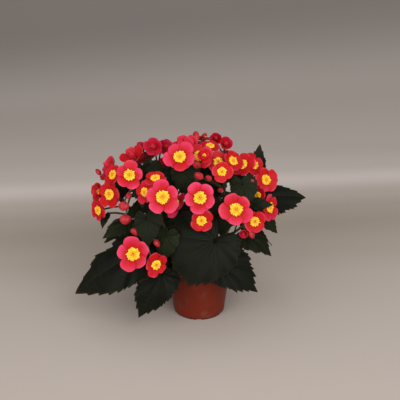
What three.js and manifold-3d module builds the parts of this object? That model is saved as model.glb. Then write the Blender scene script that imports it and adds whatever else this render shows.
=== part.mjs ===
// A potted begonia: a plastic nursery pot, its soil, seven leafy stems, forked flower sprays and leaves.
// Millimetres, +Z up. The origin is the middle of the pot's foot, and the front of the plant is -Y.

import * as THREE from 'three';
import { mergeVertices } from 'three/addons/utils/BufferGeometryUtils.js';
import Module from 'manifold-3d';

const wasm = await Module();
wasm.setup();

// Pot
const potHeight = 100;
const rimRadius = 60;
const rimBand = 12;
const rimStep = 2.4;
const footRadius = 44;
const wall = 1.8;
const floorThickness = 2.2;
const footRecess = 1.5; // how far the floor stands clear between the centre pad and the foot ring
const footRing = 4.6; // width of the ring that the pot stands on
const footCorner = 1.4;
const cornerHeight = 2.5;
const rimCorner = 0.8;
const rimLip = 2;
const insideCorner = 3;
const centrePadRadius = 12;
const potSides = 24;
const drainHoleRadius = 4;
const drainHoleCircle = 27;
const drainHoles = 5;
const notchWidth = 9;
const notchHeight = 2;
const notches = 6;

// Soil
const soilTop = 88;
const soilRelief = 1.1;
const soilRings = [36, 18]; // radii of the inner rings of the lumpy surface
const seat = 0.3; // gap between pieces that touch
const holeDepth = 16;

// Stems
const stemFootCircle = 24;
const stemFootRadius = 4.4;
const stemTipRadius = 2.6;
const stemSides = 5;
const stemSteps = 5;
const stemUpright = 0.42; // how far a stem rises straight from the soil, over its whole rise
const stemBend = 0.34; // how far back from its top a stem's last bend begins, over its length
const stemTopSteepness = 1.2;
const nodeReach = 4;
const nodeSides = 4;
const nodeLean = 28; // how far a node leans up along its stem, degrees

// Flower and leaf stalks
const peduncleRadius = 2.1;
const pedicelRadius = 1.4;
const petioleRadius = 1.9;
const stalkSides = 5;
const stalkSteps = 3;
const pedicelSides = 3;
const pedicelSteps = 2;
const pedicelShape = [pedicelRadius * 1.1, pedicelRadius, pedicelSides, pedicelSteps];
const budSides = 5;
const setOff = 0.35; // the straight first part of a stalk, over its reach
const arrival = 0.3; // the straight last part of a stalk, over its reach
const forkShare = 0.62; // where a flower stalk forks, on its way to behind its flowers
const forkBack = 22; // how far behind its flowers it heads
const forkDrop = 6;
const forkRise = 0.4;

// Flowers and buds
const petalEdge = 0.8; // thickness of a petal at its rim
const petalStep = 1.3; // how far a petal's high side stands over its neighbour's low side, each way
const petalGap = 0.84; // where two petals part, over the flower's radius
const eyeShare = 0.42; // the eye's radius over the flower's
const eyeFoot = 0.8; // the radius of the eye's foot over its own
const eyeHeight = 4.5;
const calyxDepth = 3.4;
const flatCup = 8; // how far the petals of an open flower lean forward, degrees
const largeFlower = 39;

// Leaf blades
const bladeThickness = 0.9;
const tipSharpness = 2.2;
const lobeTaper = 0.25;
const notchDepth = 0.72;
const notchSpread = 0.42;
const toothDepth = 0.05;
const leafTeeth = 12; // the teeth of a large leaf; smaller ones have fewerTeeth
const fewerTeeth = 8;
const bladeSkew = 0.12; // how much wider a blade is on one side
const bladeMiddle = 0.55; // the inner ring of a blade, over its reach
const bladeArch = 0.3;
const bladeSag = 0.22;
const bladeWave = 0.035;
const branchRadius = 1.3;
const branchShare = 0.3; // where a second blade's stalk branches off, along the first one's
const stalkLean = [0.6, 0.75]; // how a leaf's stalk meets its blade: along it and up to it
const largeLeaf = 70;

// Each stem leans from its foot on the soil to its top: the azimuth of its foot about the pot, then its top.
const stems = [
  { foot: 185, top: [-82, -12, 205] },
  { foot: 232, top: [-58, -62, 190] },
  { foot: 278, top: [-4, -42, 225] },
  { foot: 325, top: [52, -50, 195] },
  { foot: 12, top: [78, -4, 215] },
  { foot: 68, top: [38, 46, 205] },
  { foot: 128, top: [-42, 42, 215] },
];

// A spray sets off from a stem at `height`, or goes on from the stem's top, and forks at `fork` or, without
// one, behind its flowers. Each bloom has its eye `at` a place, is `size` across, and faces an azimuth, 0 to
// the front and positive to the right, and an elevation. `cup` closes its petals towards a bud, in degrees.
const sprays = [
  {
    name: 'left_outer', stem: 0, height: 180,
    blooms: [
      { at: [-145, -47, 237], size: 48, face: [-34, 16] },
      { at: [-167, -24, 199], size: 40, face: [-48, 6] },
      { at: [-168, 2, 222], size: 37, face: [-50, 12], cup: 20 },
      { at: [-156, 12, 242], size: 26, face: [-60, 45], cup: 45 },
    ],
    buds: [{ at: [-170, 20, 250], size: 9 }],
  },
  {
    name: 'left_upper', stem: 0,
    blooms: [
      { at: [-110, -73, 280], size: 48, face: [8, 35] },
      { at: [-138, -48, 271], size: 38, face: [-50, 30] },
      { at: [-143, -2, 265], size: 46, face: [-75, 35], cup: 32 },
    ],
    buds: [
      { at: [-119, -89, 234], size: 15 },
      { at: [-112, -72, 245], size: 9 },
      { at: [-117, -91, 212], size: 16 },
    ],
  },
  {
    name: 'left_centre', stem: 1,
    blooms: [
      { at: [-56, -115, 260], size: 56, face: [0, 25] },
      { at: [-84, -92, 259], size: 40, face: [-45, 15] },
      { at: [-39, -90, 238], size: 46, face: [48, -12] },
      { at: [-68, -88, 280], size: 36, face: [-10, 70] },
    ],
    buds: [],
  },
  {
    name: 'left_top', stem: 6,
    blooms: [
      { at: [-107, 0, 281], size: 50, face: [-40, 55], cup: 30 },
      { at: [-96, 32, 286], size: 32, face: [-30, 50], cup: 44 },
      { at: [-75, 12, 296], size: 42, face: [-5, 30], cup: 36 },
      { at: [-60, 36, 286], size: 38, face: [40, 35], cup: 30 },
    ],
    buds: [],
  },
  {
    name: 'top_centre', stem: 2,
    blooms: [
      { at: [-30, -70, 310], size: 52, face: [-2, 35] },
      { at: [-21, -22, 309], size: 48, face: [5, 50], cup: 20 },
      { at: [0, -44, 301], size: 48, face: [5, 45] },
      { at: [8, -78, 315], size: 26, face: [10, 35], cup: 20 },
      { at: [18, -14, 308], size: 34, face: [25, 75] },
      { at: [8, 14, 312], size: 30, face: [170, 65] },
    ],
    buds: [
      { at: [-5, 4, 319], size: 12 },
      { at: [-3, -88, 303], size: 12 },
    ],
  },
  {
    name: 'top_right', stem: 3,
    blooms: [
      { at: [31, -43, 291], size: 42, face: [0, 38] },
      { at: [54, -46, 294], size: 38, face: [45, 40] },
      { at: [36, -83, 290], size: 35, face: [5, 20] },
    ],
    buds: [
      { at: [0, -102, 290], size: 13 },
      { at: [15, -93, 283], size: 10 },
      { at: [34, -82, 258], size: 9 },
    ],
  },
  {
    name: 'right_top', stem: 4,
    blooms: [
      { at: [71, -30, 282], size: 46, face: [-30, 45] },
      { at: [90, -10, 274], size: 44, face: [45, 40] },
      { at: [43, 13, 300], size: 34, face: [15, 40], cup: 42 },
      { at: [29, 34, 302], size: 32, face: [-5, 40], cup: 42 },
    ],
    buds: [],
  },
  {
    name: 'right_outer', stem: 4, height: 186,
    blooms: [
      { at: [109, -32, 256], size: 46, face: [34, 25] },
      { at: [96, -52, 236], size: 32, face: [-50, 25] },
    ],
    buds: [
      { at: [126, -8, 244], size: 9 },
      { at: [86, -56, 260], size: 14 },
    ],
  },
  {
    name: 'right_low', stem: 3, height: 160,
    blooms: [{ at: [114, -60, 219], size: 46, face: [52, 12] }],
    buds: [],
  },
  {
    name: 'front_centre', stem: 2, height: 214, fork: [2, -98, 232],
    blooms: [
      { at: [2, -118, 260], size: 52, face: [0, 25] },
      { at: [4, -116, 221], size: 38, face: [2, 8] },
    ],
    buds: [],
  },
  {
    name: 'front_right', stem: 3, height: 186, fork: [68, -84, 214],
    blooms: [
      { at: [58, -112, 238], size: 54, face: [4, 20] },
      { at: [88, -102, 213], size: 38, face: [18, 12] },
      { at: [72, -96, 191], size: 22, face: [-10, 0], cup: 45 },
    ],
    buds: [{ at: [84, -98, 190], size: 11 }],
  },
  {
    name: 'low_left', stem: 1, height: 178, fork: [-84, -98, 184],
    blooms: [
      { at: [-103, -130, 169], size: 56, face: [-8, 20] },
      { at: [-68, -128, 150], size: 42, face: [28, 2] },
    ],
    buds: [
      { at: [-100, -115, 201], size: 13 },
      { at: [-67, -112, 180], size: 10 },
    ],
  },
  {
    name: 'back_left', stem: 6, height: 180,
    blooms: [
      { at: [-92, 82, 254], size: 46, face: [-140, 35] },
      { at: [-62, 112, 226], size: 42, face: [-162, 12] },
      { at: [-122, 56, 226], size: 38, face: [-118, 15] },
    ],
    buds: [{ at: [-96, 100, 212], size: 12 }],
  },
  {
    name: 'back_top', stem: 6, height: 200,
    blooms: [
      { at: [-36, 64, 284], size: 38, face: [-170, 60] },
      { at: [-12, 96, 268], size: 48, face: [176, 35] },
    ],
    buds: [{ at: [8, 66, 296], size: 12 }],
  },
  {
    name: 'back_right', stem: 5,
    blooms: [
      { at: [56, 84, 252], size: 44, face: [146, 34] },
      { at: [36, 118, 232], size: 42, face: [172, 12] },
      { at: [32, 56, 292], size: 36, face: [150, 65] },
    ],
    buds: [{ at: [84, 88, 238], size: 12 }],
  },
  {
    name: 'right_back', stem: 5, height: 188,
    blooms: [
      { at: [110, 58, 233], size: 42, face: [98, 28] },
      { at: [104, 74, 204], size: 38, face: [124, 6] },
    ],
    buds: [{ at: [130, 78, 214], size: 11 }],
  },
];

// A leaf hangs on a stem at `height`. Its veins part at `from` and it points to `tip`. `up` leans its upper
// face, and `breadth` is its half width over its length. `skew` widens one side and `taper` narrows the lobes
// by the stalk, where a leaf differs from bladeSkew and lobeTaper. `more` lists further blades whose stalks
// branch off the leaf's own.
const leaves = [
  {
    name: 'low_left', stem: 1, height: 122, from: [-92, -78, 150], tip: [-200, -58, 63],
    up: [-0.1, -0.6, 0.8], breadth: 0.33, skew: 0.04,
  },
  {
    name: 'low_front', stem: 1, height: 112, from: [-60, -96, 116], tip: [-98, -96, 40],
    up: [-0.1, -0.95, 0.25], breadth: 0.38, skew: 0,
  },
  {
    name: 'front_large', stem: 2, height: 140, from: [27, -107, 182], tip: [-14, -122, 113],
    up: [0.05, -0.75, 0.6], breadth: 0.84, skew: -0.24, taper: 0.72,
  },
  {
    name: 'front_low', stem: 3, height: 113, from: [30, -80, 127], tip: [93, -82, 80],
    up: [0.1, -0.75, 0.65], breadth: 0.52, skew: 0.25,
  },
  {
    name: 'right_small', stem: 3, height: 117, from: [80, -24, 153], tip: [122, -28, 119],
    up: [0.2, -0.55, 0.8], breadth: 0.5,
    more: [
      { from: [35, -67, 226], tip: [38, -75, 175], up: [0, -0.9, 0.4], breadth: 0.5 },
      { from: [89, -78, 232], tip: [117, -77, 231], up: [0.1, -0.9, 0.4], breadth: 0.36 },
    ],
  },
  {
    name: 'right_low', stem: 4, height: 127, from: [76, 28, 181], tip: [96, -5, 147],
    up: [0.1, -0.8, 0.6], breadth: 0.5,
  },
  {
    name: 'right_outer', stem: 4, height: 165, from: [104, 3, 209], tip: [178, 16, 206],
    up: [0.05, -0.55, 0.83], breadth: 0.41, skew: -0.27,
  },
  {
    name: 'right_hanging', stem: 4, height: 185, from: [106, -20, 180], tip: [132, -20, 156],
    up: [0.55, -0.75, 0.35], breadth: 0.4, skew: 0.3,
  },
  {
    name: 'right_upright', stem: 5, height: 195, from: [97, 27, 250], tip: [103, 34, 291],
    up: [0, -1, 0.15], breadth: 0.42,
  },
  {
    name: 'left_centre', stem: 1, height: 160, from: [-83, -112, 222], tip: [-80, -126, 182],
    up: [0, -0.9, 0.4], breadth: 0.5,
  },
  {
    name: 'front_dark', stem: 2, height: 160, from: [-37, -52, 210], tip: [-35, -64, 166],
    up: [0, -0.9, 0.4], breadth: 0.46,
  },
  {
    name: 'front_under', stem: 1, height: 134, from: [-70, -37, 182], tip: [-74, -52, 128],
    up: [0, -0.9, 0.4], breadth: 0.52,
  },
  {
    name: 'left_mid', stem: 0, height: 170, from: [-116, -48, 188], tip: [-156, -60, 166],
    up: [-0.2, -0.5, 0.85], breadth: 0.38,
  },
  {
    name: 'left_hanging', stem: 0, height: 176, from: [-158, -10, 184], tip: [-163, -20, 165],
    up: [-0.5, -0.8, 0.3], breadth: 0.38,
  },
  {
    name: 'left_low', stem: 0, height: 120, from: [-112, -13, 165], tip: [-160, -22, 141],
    up: [-0.2, -0.2, 0.95], breadth: 0.4,
  },
  {
    name: 'rim_front', stem: 2, height: 114, from: [-34, -70, 140], tip: [-44, -88, 107],
    up: [0, -0.95, 0.3], breadth: 0.56,
    more: [
      { from: [-52, -99, 186], tip: [-56, -105, 146], up: [-0.1, -0.9, 0.4], breadth: 0.48 },
    ],
  },
  {
    name: 'crown_front', stem: 2, height: 204, from: [-10, -71, 256], tip: [-8, -83, 226],
    up: [0, -0.8, 0.6], breadth: 0.55,
    more: [
      { from: [-27, -66, 284], tip: [-21, -73, 244], up: [0, -0.8, 0.6], breadth: 0.5 },
    ],
  },
  {
    name: 'crown_left', stem: 0, height: 194, from: [-89, -43, 219], tip: [-117, -66, 200],
    up: [-0.3, -0.4, 0.85], breadth: 0.5,
    more: [
      { from: [-135, -6, 244], tip: [-131, -13, 211], up: [0, -0.8, 0.6], breadth: 0.6 },
    ],
  },
  {
    name: 'crown_right', stem: 3, height: 190, from: [69, -66, 262], tip: [71, -82, 228],
    up: [0, -0.8, 0.6], breadth: 0.6,
    more: [
      { from: [50, -30, 270], tip: [75, -43, 250], up: [0.1, -0.8, 0.6], breadth: 0.55 },
    ],
  },
  {
    name: 'crown_mid_left', stem: 6, height: 205, from: [-58, -36, 272], tip: [-60, -58, 224],
    up: [0, -0.8, 0.6], breadth: 0.6,
  },
  {
    name: 'mid_left', stem: 0, height: 188, from: [-92, 8, 232], tip: [-132, 18, 238],
    up: [-0.1, -0.2, 0.97], breadth: 0.5,
  },
  {
    name: 'mid_back_left', stem: 6, height: 152, from: [-84, 38, 200], tip: [-128, 52, 192],
    up: [-0.3, 0.3, 0.9], breadth: 0.5,
  },
  {
    name: 'mid_back', stem: 5, height: 182, from: [10, 70, 206], tip: [8, 118, 198],
    up: [0, 0.2, 0.97], breadth: 0.5,
  },
  {
    name: 'mid_back_right', stem: 4, height: 192, from: [86, 34, 198], tip: [126, 50, 186],
    up: [0.2, 0.2, 0.95], breadth: 0.5,
  },
  {
    name: 'crown_mid', stem: 0, height: 178, from: [-88, -57, 258], tip: [-90, -83, 230],
    up: [0, -0.8, 0.6], breadth: 0.58,
    more: [
      { from: [-92, -18, 272], tip: [-86, -25, 244], up: [0, -0.8, 0.6], breadth: 0.55 },
    ],
  },
  {
    name: 'mid_front', stem: 3, height: 184, from: [21, -16, 266], tip: [27, -25, 218],
    up: [0, -0.8, 0.6], breadth: 0.55,
  },
  {
    name: 'crown_back', stem: 5, height: 190, from: [-2, 22, 252], tip: [-6, 62, 262],
    up: [0, -0.2, 0.98], breadth: 0.5,
  },
  {
    name: 'back_left', stem: 6, height: 130, from: [-90, 58, 160], tip: [-166, 84, 112],
    up: [-0.3, 0.4, 0.85], breadth: 0.38,
  },
  {
    name: 'back_low', stem: 6, height: 112, from: [-40, 84, 134], tip: [-80, 146, 84],
    up: [-0.2, 0.6, 0.8], breadth: 0.4,
  },
  {
    name: 'back_centre', stem: 5, height: 126, from: [2, 78, 168], tip: [8, 152, 118],
    up: [0, 0.6, 0.8], breadth: 0.44,
  },
  {
    name: 'back_right', stem: 5, height: 112, from: [52, 66, 146], tip: [104, 128, 102],
    up: [0.3, 0.5, 0.8], breadth: 0.4,
  },
  {
    name: 'right_back', stem: 4, height: 112, from: [84, 32, 140], tip: [128, 50, 98],
    up: [0.3, 0.2, 0.9], breadth: 0.34,
  },
  {
    name: 'left_back', stem: 0, height: 118, from: [-104, 22, 146], tip: [-166, 30, 120],
    up: [-0.3, 0.1, 0.9], breadth: 0.34,
  },
  {
    name: 'back_upper', stem: 5, height: 160, from: [60, 78, 180], tip: [90, 134, 158],
    up: [0.3, 0.5, 0.8], breadth: 0.42,
  },
  {
    name: 'back_upper_left', stem: 6, height: 160, from: [-66, 72, 186], tip: [-96, 132, 164],
    up: [-0.3, 0.5, 0.8], breadth: 0.42,
  },
];

// Geometry helpers

const mergeDistance = 0.08;

const vector = (place) => new THREE.Vector3(...place);
const radians = THREE.MathUtils.degToRad;

// A closed skin over a chain of rings, which may differ in count. Each ring turns to the right about the way
// the chain travels, and starts at the same side as the one before. A ring of one point closes an end.
function skin(rings) {
  const index = [];
  let base = 0;
  for (let row = 0; row + 1 < rings.length; row++) {
    const count = rings[row].length;
    const nextCount = rings[row + 1].length;
    const next = base + count;
    let i = 0;
    let j = 0;
    while (i < count || j < nextCount) {
      const here = base + (i % count);
      const there = next + (j % nextCount);
      const nextIsNearer = i >= count || count === 1 || (j + 1) * count <= (i + 1) * nextCount;
      if (nextCount > 1 && j < nextCount && nextIsNearer) {
        index.push(here, next + ((j + 1) % nextCount), there);
        j++;
      } else if (count > 1 && i < count) {
        index.push(here, base + ((i + 1) % count), there);
        i++;
      } else {
        break;
      }
    }
    base = next;
  }
  for (let i = 1; i + 1 < rings[0].length; i++) {
    index.push(0, i + 1, i);
  }
  for (let i = 1; i + 1 < rings.at(-1).length; i++) {
    index.push(base, base + i, base + i + 1);
  }
  return solidOf(geometryOf(rings.flat(), index));
}

function geometryOf(points, index) {
  const geometry = new THREE.BufferGeometry();
  const coordinates = points.flatMap((point) => point.toArray());
  geometry.setAttribute('position', new THREE.Float32BufferAttribute(coordinates, 3));
  geometry.setIndex(index);
  return geometry;
}

function solidOf(geometry) {
  const bare = geometry.clone();
  bare.deleteAttribute('normal');
  bare.deleteAttribute('uv');
  const merged = mergeVertices(bare, 1e-4);
  return new wasm.Manifold(new wasm.Mesh({
    numProp: 3,
    vertProperties: new Float32Array(merged.attributes.position.array),
    triVerts: new Uint32Array(merged.index.array),
  }));
}

function joined(solids) {
  return largestBody(solids.reduce((sum, solid) => sum.add(solid)));
}

// The largest body of a solid: loose scraps are dropped and sealed hollows filled.
function largestBody(solid) {
  const bodies = solid.simplify(mergeDistance).decompose();
  return bodies.reduce((best, body) => (body.volume() > best.volume() ? body : best));
}

function meshOf(name, solid, material) {
  const result = solid.getMesh();
  const geometry = new THREE.BufferGeometry();
  geometry.setAttribute('position', new THREE.Float32BufferAttribute(result.vertProperties, result.numProp));
  geometry.setIndex([...result.triVerts]);
  geometry.computeVertexNormals();
  const mesh = new THREE.Mesh(geometry, new THREE.MeshStandardMaterial({ metalness: 0, ...material }));
  mesh.name = name;
  return mesh;
}

// The rings of a tapered stalk along a curve. The last ring starts on the side of `axis`.
function stalkRings(curve, startRadius, endRadius, sides, steps, axis = new THREE.Vector3(0.3, 0.9, 0.1)) {
  const rings = [];
  const normal = axis.clone();
  for (let step = steps; step >= 0; step--) {
    const share = step / steps;
    const tangent = curve.getTangent(share);
    normal.addScaledVector(tangent, -normal.dot(tangent)).normalize();
    const binormal = new THREE.Vector3().crossVectors(tangent, normal);
    const radius = THREE.MathUtils.lerp(startRadius, endRadius, share);
    rings.unshift(ringOf(curve.getPoint(share), normal, binormal, radius, sides));
  }
  return rings;
}

function ringOf(centre, first, second, radius, sides) {
  const ring = [];
  for (let side = 0; side < sides; side++) {
    const turn = (2 * Math.PI * side) / sides;
    ring.push(centre.clone()
      .addScaledVector(first, radius * Math.cos(turn))
      .addScaledVector(second, radius * Math.sin(turn)));
  }
  return ring;
}

function stalk(...shape) {
  return skin(stalkRings(...shape));
}

function lathe(profile, sides) {
  const points = profile.map(([radius, height]) => new THREE.Vector2(radius, height));
  const geometry = new THREE.LatheGeometry(points, sides);
  geometry.rotateX(Math.PI / 2);
  return geometry;
}

// Pot and soil

// The outside radius of the pot's wall below the rim band.
function potRadius(height) {
  return THREE.MathUtils.mapLinear(height, 0, potHeight, footRadius, rimRadius - rimStep);
}

function makePot() {
  const bandFoot = potHeight - rimBand;
  const inside = footRecess + floorThickness;
  const ringInside = footRadius - footCorner - footRing;
  const pot = solidOf(lathe([
    [0, 0],
    [centrePadRadius, 0],
    [centrePadRadius + 1, footRecess],
    [ringInside - 1, footRecess],
    [ringInside, 0],
    [footRadius - footCorner, 0],
    [potRadius(cornerHeight), cornerHeight],
    [potRadius(bandFoot), bandFoot],
    [rimRadius - rimCorner, bandFoot + rimCorner],
    [rimRadius, bandFoot + 2 * rimCorner],
    [rimRadius, potHeight - rimCorner],
    [rimRadius - rimCorner, potHeight],
    [rimRadius - rimLip, potHeight],
    [potRadius(bandFoot) - wall, bandFoot - 2 * wall],
    [potRadius(insideCorner) - wall, inside + insideCorner],
    [potRadius(insideCorner) - wall - insideCorner, inside],
    [0, inside],
  ], potSides));
  const cuts = [];
  for (let i = 0; i < drainHoles; i++) {
    const hole = new THREE.CylinderGeometry(drainHoleRadius, drainHoleRadius, 4 * inside, 8);
    hole.rotateX(Math.PI / 2);
    hole.translate(drainHoleCircle, 0, footRecess);
    hole.rotateZ((2 * Math.PI * i) / drainHoles);
    cuts.push(solidOf(hole));
  }
  for (let i = 0; i < notches; i++) {
    const notch = new THREE.BoxGeometry(2.5 * footRing, notchWidth, 2 * notchHeight);
    notch.translate(footRadius, 0, 0);
    notch.rotateZ((2 * Math.PI * (i + 0.5)) / notches);
    cuts.push(solidOf(notch));
  }
  const cut = cuts.reduce((rest, tool) => rest.subtract(tool), pot);
  return meshOf('pot', largestBody(cut), { color: 0x6e2a1d, roughness: 0.45 });
}

function soilSurface(x, y) {
  const lumps = Math.sin(x * 0.21 + 1) * Math.cos(y * 0.26) + 0.6 * Math.sin(x * 0.43 - y * 0.37);
  return soilTop + soilRelief * lumps;
}

function makeSoil(holes) {
  const base = footRecess + floorThickness + seat;
  const edge = soilTop - 2;
  const geometry = lathe([
    [0, base],
    [potRadius(insideCorner) - wall - insideCorner - seat, base],
    [potRadius(insideCorner) - wall - seat, base + insideCorner],
    [potRadius(edge) - wall - seat, edge],
    ...soilRings.map((radius) => [radius, soilTop]),
    [0, soilTop],
  ], potSides);
  const position = geometry.attributes.position;
  for (let i = 0; i < position.count; i++) {
    if (position.getZ(i) >= edge - 0.01) {
      position.setZ(i, soilSurface(position.getX(i), position.getY(i)));
    }
  }
  const soil = holes.reduce((rest, hole) => rest.subtract(hole), solidOf(geometry));
  return meshOf('soil', largestBody(soil), { color: 0x2e221b, roughness: 0.95 });
}

// Stems

function stemCurve(stem) {
  const turn = radians(stem.foot);
  const foot = new THREE.Vector3(stemFootCircle * Math.cos(turn), stemFootCircle * Math.sin(turn), 0);
  foot.z = soilTop - holeDepth;
  const top = vector(stem.top);
  const rise = top.z - foot.z;
  const topWay = new THREE.Vector3(top.x - foot.x, top.y - foot.y, rise * stemTopSteepness);
  return new THREE.CubicBezierCurve3(
    foot,
    foot.clone().setZ(foot.z + rise * stemUpright),
    top.clone().addScaledVector(topWay, -stemBend),
    top,
  );
}

// The place on a stem at a height, with the stem's radius there.
function stemAt(stem, height) {
  const curve = stemCurve(stem);
  let low = 0;
  let high = 1;
  for (let i = 0; i < 30; i++) {
    const middle = (low + high) / 2;
    if (curve.getPoint(middle).z < height) {
      low = middle;
    } else {
      high = middle;
    }
  }
  return {
    place: curve.getPoint(low),
    tangent: curve.getTangent(low),
    radius: THREE.MathUtils.lerp(stemFootRadius, stemTipRadius, low),
  };
}

// The node on a stem from which a stalk sets off towards a goal, well away from the stem's own way. Without a
// height the stalk goes on from the stem's top.
function nodeTowards(stem, height, goal) {
  if (height === undefined) {
    const curve = stemCurve(stem);
    return { way: curve.getTangent(1), end: curve.getPoint(1) };
  }
  const { place, tangent, radius } = stemAt(stem, height);
  const way = goal.clone().sub(place).normalize();
  way.addScaledVector(tangent, -way.dot(tangent)).normalize();
  way.multiplyScalar(Math.cos(radians(nodeLean))).addScaledVector(tangent, Math.sin(radians(nodeLean)));
  return { place, way, end: place.clone().addScaledVector(way, radius + nodeReach) };
}

function stemNode(node, radius) {
  return stalk(new THREE.LineCurve3(node.place, node.end), radius * 1.2, radius * 1.1, nodeSides, 1);
}

function makeStem(stem, number) {
  const parts = [stalk(stemCurve(stem), stemFootRadius, stemTipRadius, stemSides, stemSteps)];
  for (const spray of sprays.filter((one) => one.stem === number && one.height)) {
    parts.push(stemNode(sprayNode(spray), peduncleRadius));
  }
  for (const leaf of leaves.filter((one) => one.stem === number)) {
    parts.push(stemNode(leafNode(leaf), petioleRadius));
  }
  return joined(parts);
}

// The hole in the soil for a stem, a little wider than the stem all round.
function stemHole(stem) {
  return stalk(stemCurve(stem), stemFootRadius + seat, stemTipRadius + seat, stemSides, stemSteps);
}

// Flower sprays

function faceWay([azimuth, elevation]) {
  const turn = radians(azimuth);
  const tilt = radians(elevation);
  return new THREE.Vector3(Math.sin(turn) * Math.cos(tilt), -Math.cos(turn) * Math.cos(tilt), Math.sin(tilt));
}

function frameAbout(normal) {
  const side = new THREE.Vector3().crossVectors(new THREE.Vector3(0, 0, 1), normal).normalize();
  const up = new THREE.Vector3().crossVectors(normal, side);
  return { side, up, normal };
}

// One flower and its stalklet as one skin: a shallow cone behind, petals that each rise from a low side to a
// high side over the next petal's low side, and a ruffled star of stamens in the middle.
function flower(bloom, stalklet) {
  const frame = frameAbout(faceWay(bloom.face));
  const radius = bloom.size / 2;
  const large = bloom.size > largeFlower;
  const petals = large ? 5 : 4;
  const cup = radians(bloom.cup ?? flatCup);
  const spin = bloom.at[0] * 0.7 + bloom.at[2] * 0.3;
  const sector = (2 * Math.PI) / petals;
  const place = (turn, reach, lift) => vector(bloom.at)
    .addScaledVector(frame.side, reach * Math.cos(cup) * Math.cos(spin + turn))
    .addScaledVector(frame.up, reach * Math.cos(cup) * Math.sin(spin + turn))
    .addScaledVector(frame.normal, lift + reach * Math.sin(cup));
  const eyeRadius = radius * eyeShare;
  const outline = large
    ? [[-0.46, petalGap, -1], [-0.28, 0.95, -0.6], [0, 1, 0], [0.28, 0.95, 0.6], [0.46, petalGap, 1]]
    : [[-0.44, petalGap, -1], [-0.2, 1, -0.5], [0.2, 1, 0.5], [0.44, petalGap, 1]];
  const lower = [];
  const upper = [];
  const seats = [];
  const tops = [];
  for (let i = 0; i < petals; i++) {
    const middle = (i + 0.46) * sector;
    const length = radius * (1 - 0.07 * ((2 * i) % 3));
    for (const [turn, reach, side] of outline) {
      lower.push(place(middle + turn * sector, reach * length, -petalStep));
      upper.push(place(middle + turn * sector, reach * length, side * petalStep + petalEdge));
    }
    seats.push(place(middle - 0.3 * sector, eyeRadius * eyeFoot, -petalStep * 0.4));
    seats.push(place(middle + 0.3 * sector, eyeRadius * eyeFoot, petalStep * 0.4));
    tops.push(place(middle - 0.3 * sector, eyeRadius, eyeHeight * eyeFoot));
  }
  const start = place(0, 1, 0).sub(place(0, 0, 0));
  const end = place(0, 0, -calyxDepth);
  const stem = stalkRings(stalklet(end, frame.normal), ...pedicelShape, start);
  return skin([...stem, lower, upper, seats, tops, [place(0, 0, eyeHeight)]]);
}

// A closed bud and its stalklet as one skin.
function budSolid(bud, way, stalklet) {
  const length = bud.size * 1.15;
  const start = vector(bud.at).addScaledVector(way, -length / 2);
  const { side, up } = frameAbout(way);
  const stem = stalkRings(stalklet(start, way), ...pedicelShape, side);
  const rings = [[0.45, 1], [0.82, 0.68]].map(([share, width]) => {
    const centre = start.clone().addScaledVector(way, share * length);
    return ringOf(centre, side, up, (bud.size / 2) * width, budSides);
  });
  return skin([...stem, ...rings, [start.clone().addScaledVector(way, length)]]);
}

// The middle of a spray's flowers and buds.
function sprayMiddle(spray) {
  const places = [...spray.blooms, ...spray.buds].map((one) => vector(one.at));
  const sum = places.reduce((total, place) => total.add(place), new THREE.Vector3());
  return sum.divideScalar(places.length);
}

function sprayNode(spray) {
  return nodeTowards(stems[spray.stem], spray.height, sprayMiddle(spray));
}

// Where a spray's flower stalk forks.
function sprayFork(spray, node) {
  if (spray.fork) {
    return vector(spray.fork);
  }
  const backs = spray.blooms.map((bloom) => vector(bloom.at).addScaledVector(faceWay(bloom.face), -forkBack));
  const middle = backs.reduce((sum, back) => sum.add(back), new THREE.Vector3()).divideScalar(backs.length);
  return node.end.clone().lerp(middle, forkShare).add(new THREE.Vector3(0, 0, -forkDrop));
}

// The curve of a stalk from its node, and the way it arrives.
function stalkCurve(node, end, arriving) {
  const start = node.end.clone().addScaledVector(node.way, seat);
  const reach = start.distanceTo(end);
  return new THREE.CubicBezierCurve3(
    start,
    start.clone().addScaledVector(node.way, reach * setOff),
    end.clone().addScaledVector(arriving, -reach * arrival),
    end,
  );
}

function makeSpray(spray) {
  const node = sprayNode(spray);
  const fork = sprayFork(spray, node);
  const rising = fork.clone().sub(node.end).normalize().add(new THREE.Vector3(0, 0, forkRise)).normalize();
  const peduncle = stalkCurve(node, fork, rising);
  const parts = [stalk(peduncle, peduncleRadius, peduncleRadius * 0.85, stalkSides, stalkSteps)];
  const stalklet = (end, way) => {
    const length = fork.distanceTo(end);
    return new THREE.CubicBezierCurve3(
      fork.clone().addScaledVector(rising, -1.5),
      fork.clone().lerp(end, 0.25).addScaledVector(rising, length * 0.1),
      end.clone().addScaledVector(way, -length * setOff),
      end,
    );
  };
  for (const bloom of spray.blooms) {
    parts.push(flower(bloom, stalklet));
  }
  for (const bud of spray.buds) {
    parts.push(budSolid(bud, vector(bud.at).sub(fork).normalize(), stalklet));
  }
  return joined(parts);
}

// Leaves

function leafNode(leaf) {
  return nodeTowards(stems[leaf.stem], leaf.height, vector(leaf.from));
}

function bladeFrame(leaf) {
  const from = vector(leaf.from);
  const along = vector(leaf.tip).sub(from);
  const length = along.length();
  along.normalize();
  const up = vector(leaf.up);
  up.addScaledVector(along, -up.dot(along)).normalize();
  return { from, along, up, across: new THREE.Vector3().crossVectors(up, along), length };
}

// How far the blade reaches from where its veins part, at an angle from its tip.
function bladeReach(leaf, length, angle) {
  const away = Math.abs(angle);
  const body = leaf.breadth + (1 - leaf.breadth) * Math.exp(-tipSharpness * away ** 1.1);
  const lobe = 1 - (leaf.taper ?? lobeTaper) * (away / Math.PI) ** 2;
  const notch = 1 - notchDepth * Math.exp(-(((Math.PI - away) / notchSpread) ** 2));
  return length * body * lobe * notch * (1 + (leaf.skew ?? bladeSkew) * Math.sin(angle));
}

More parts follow.
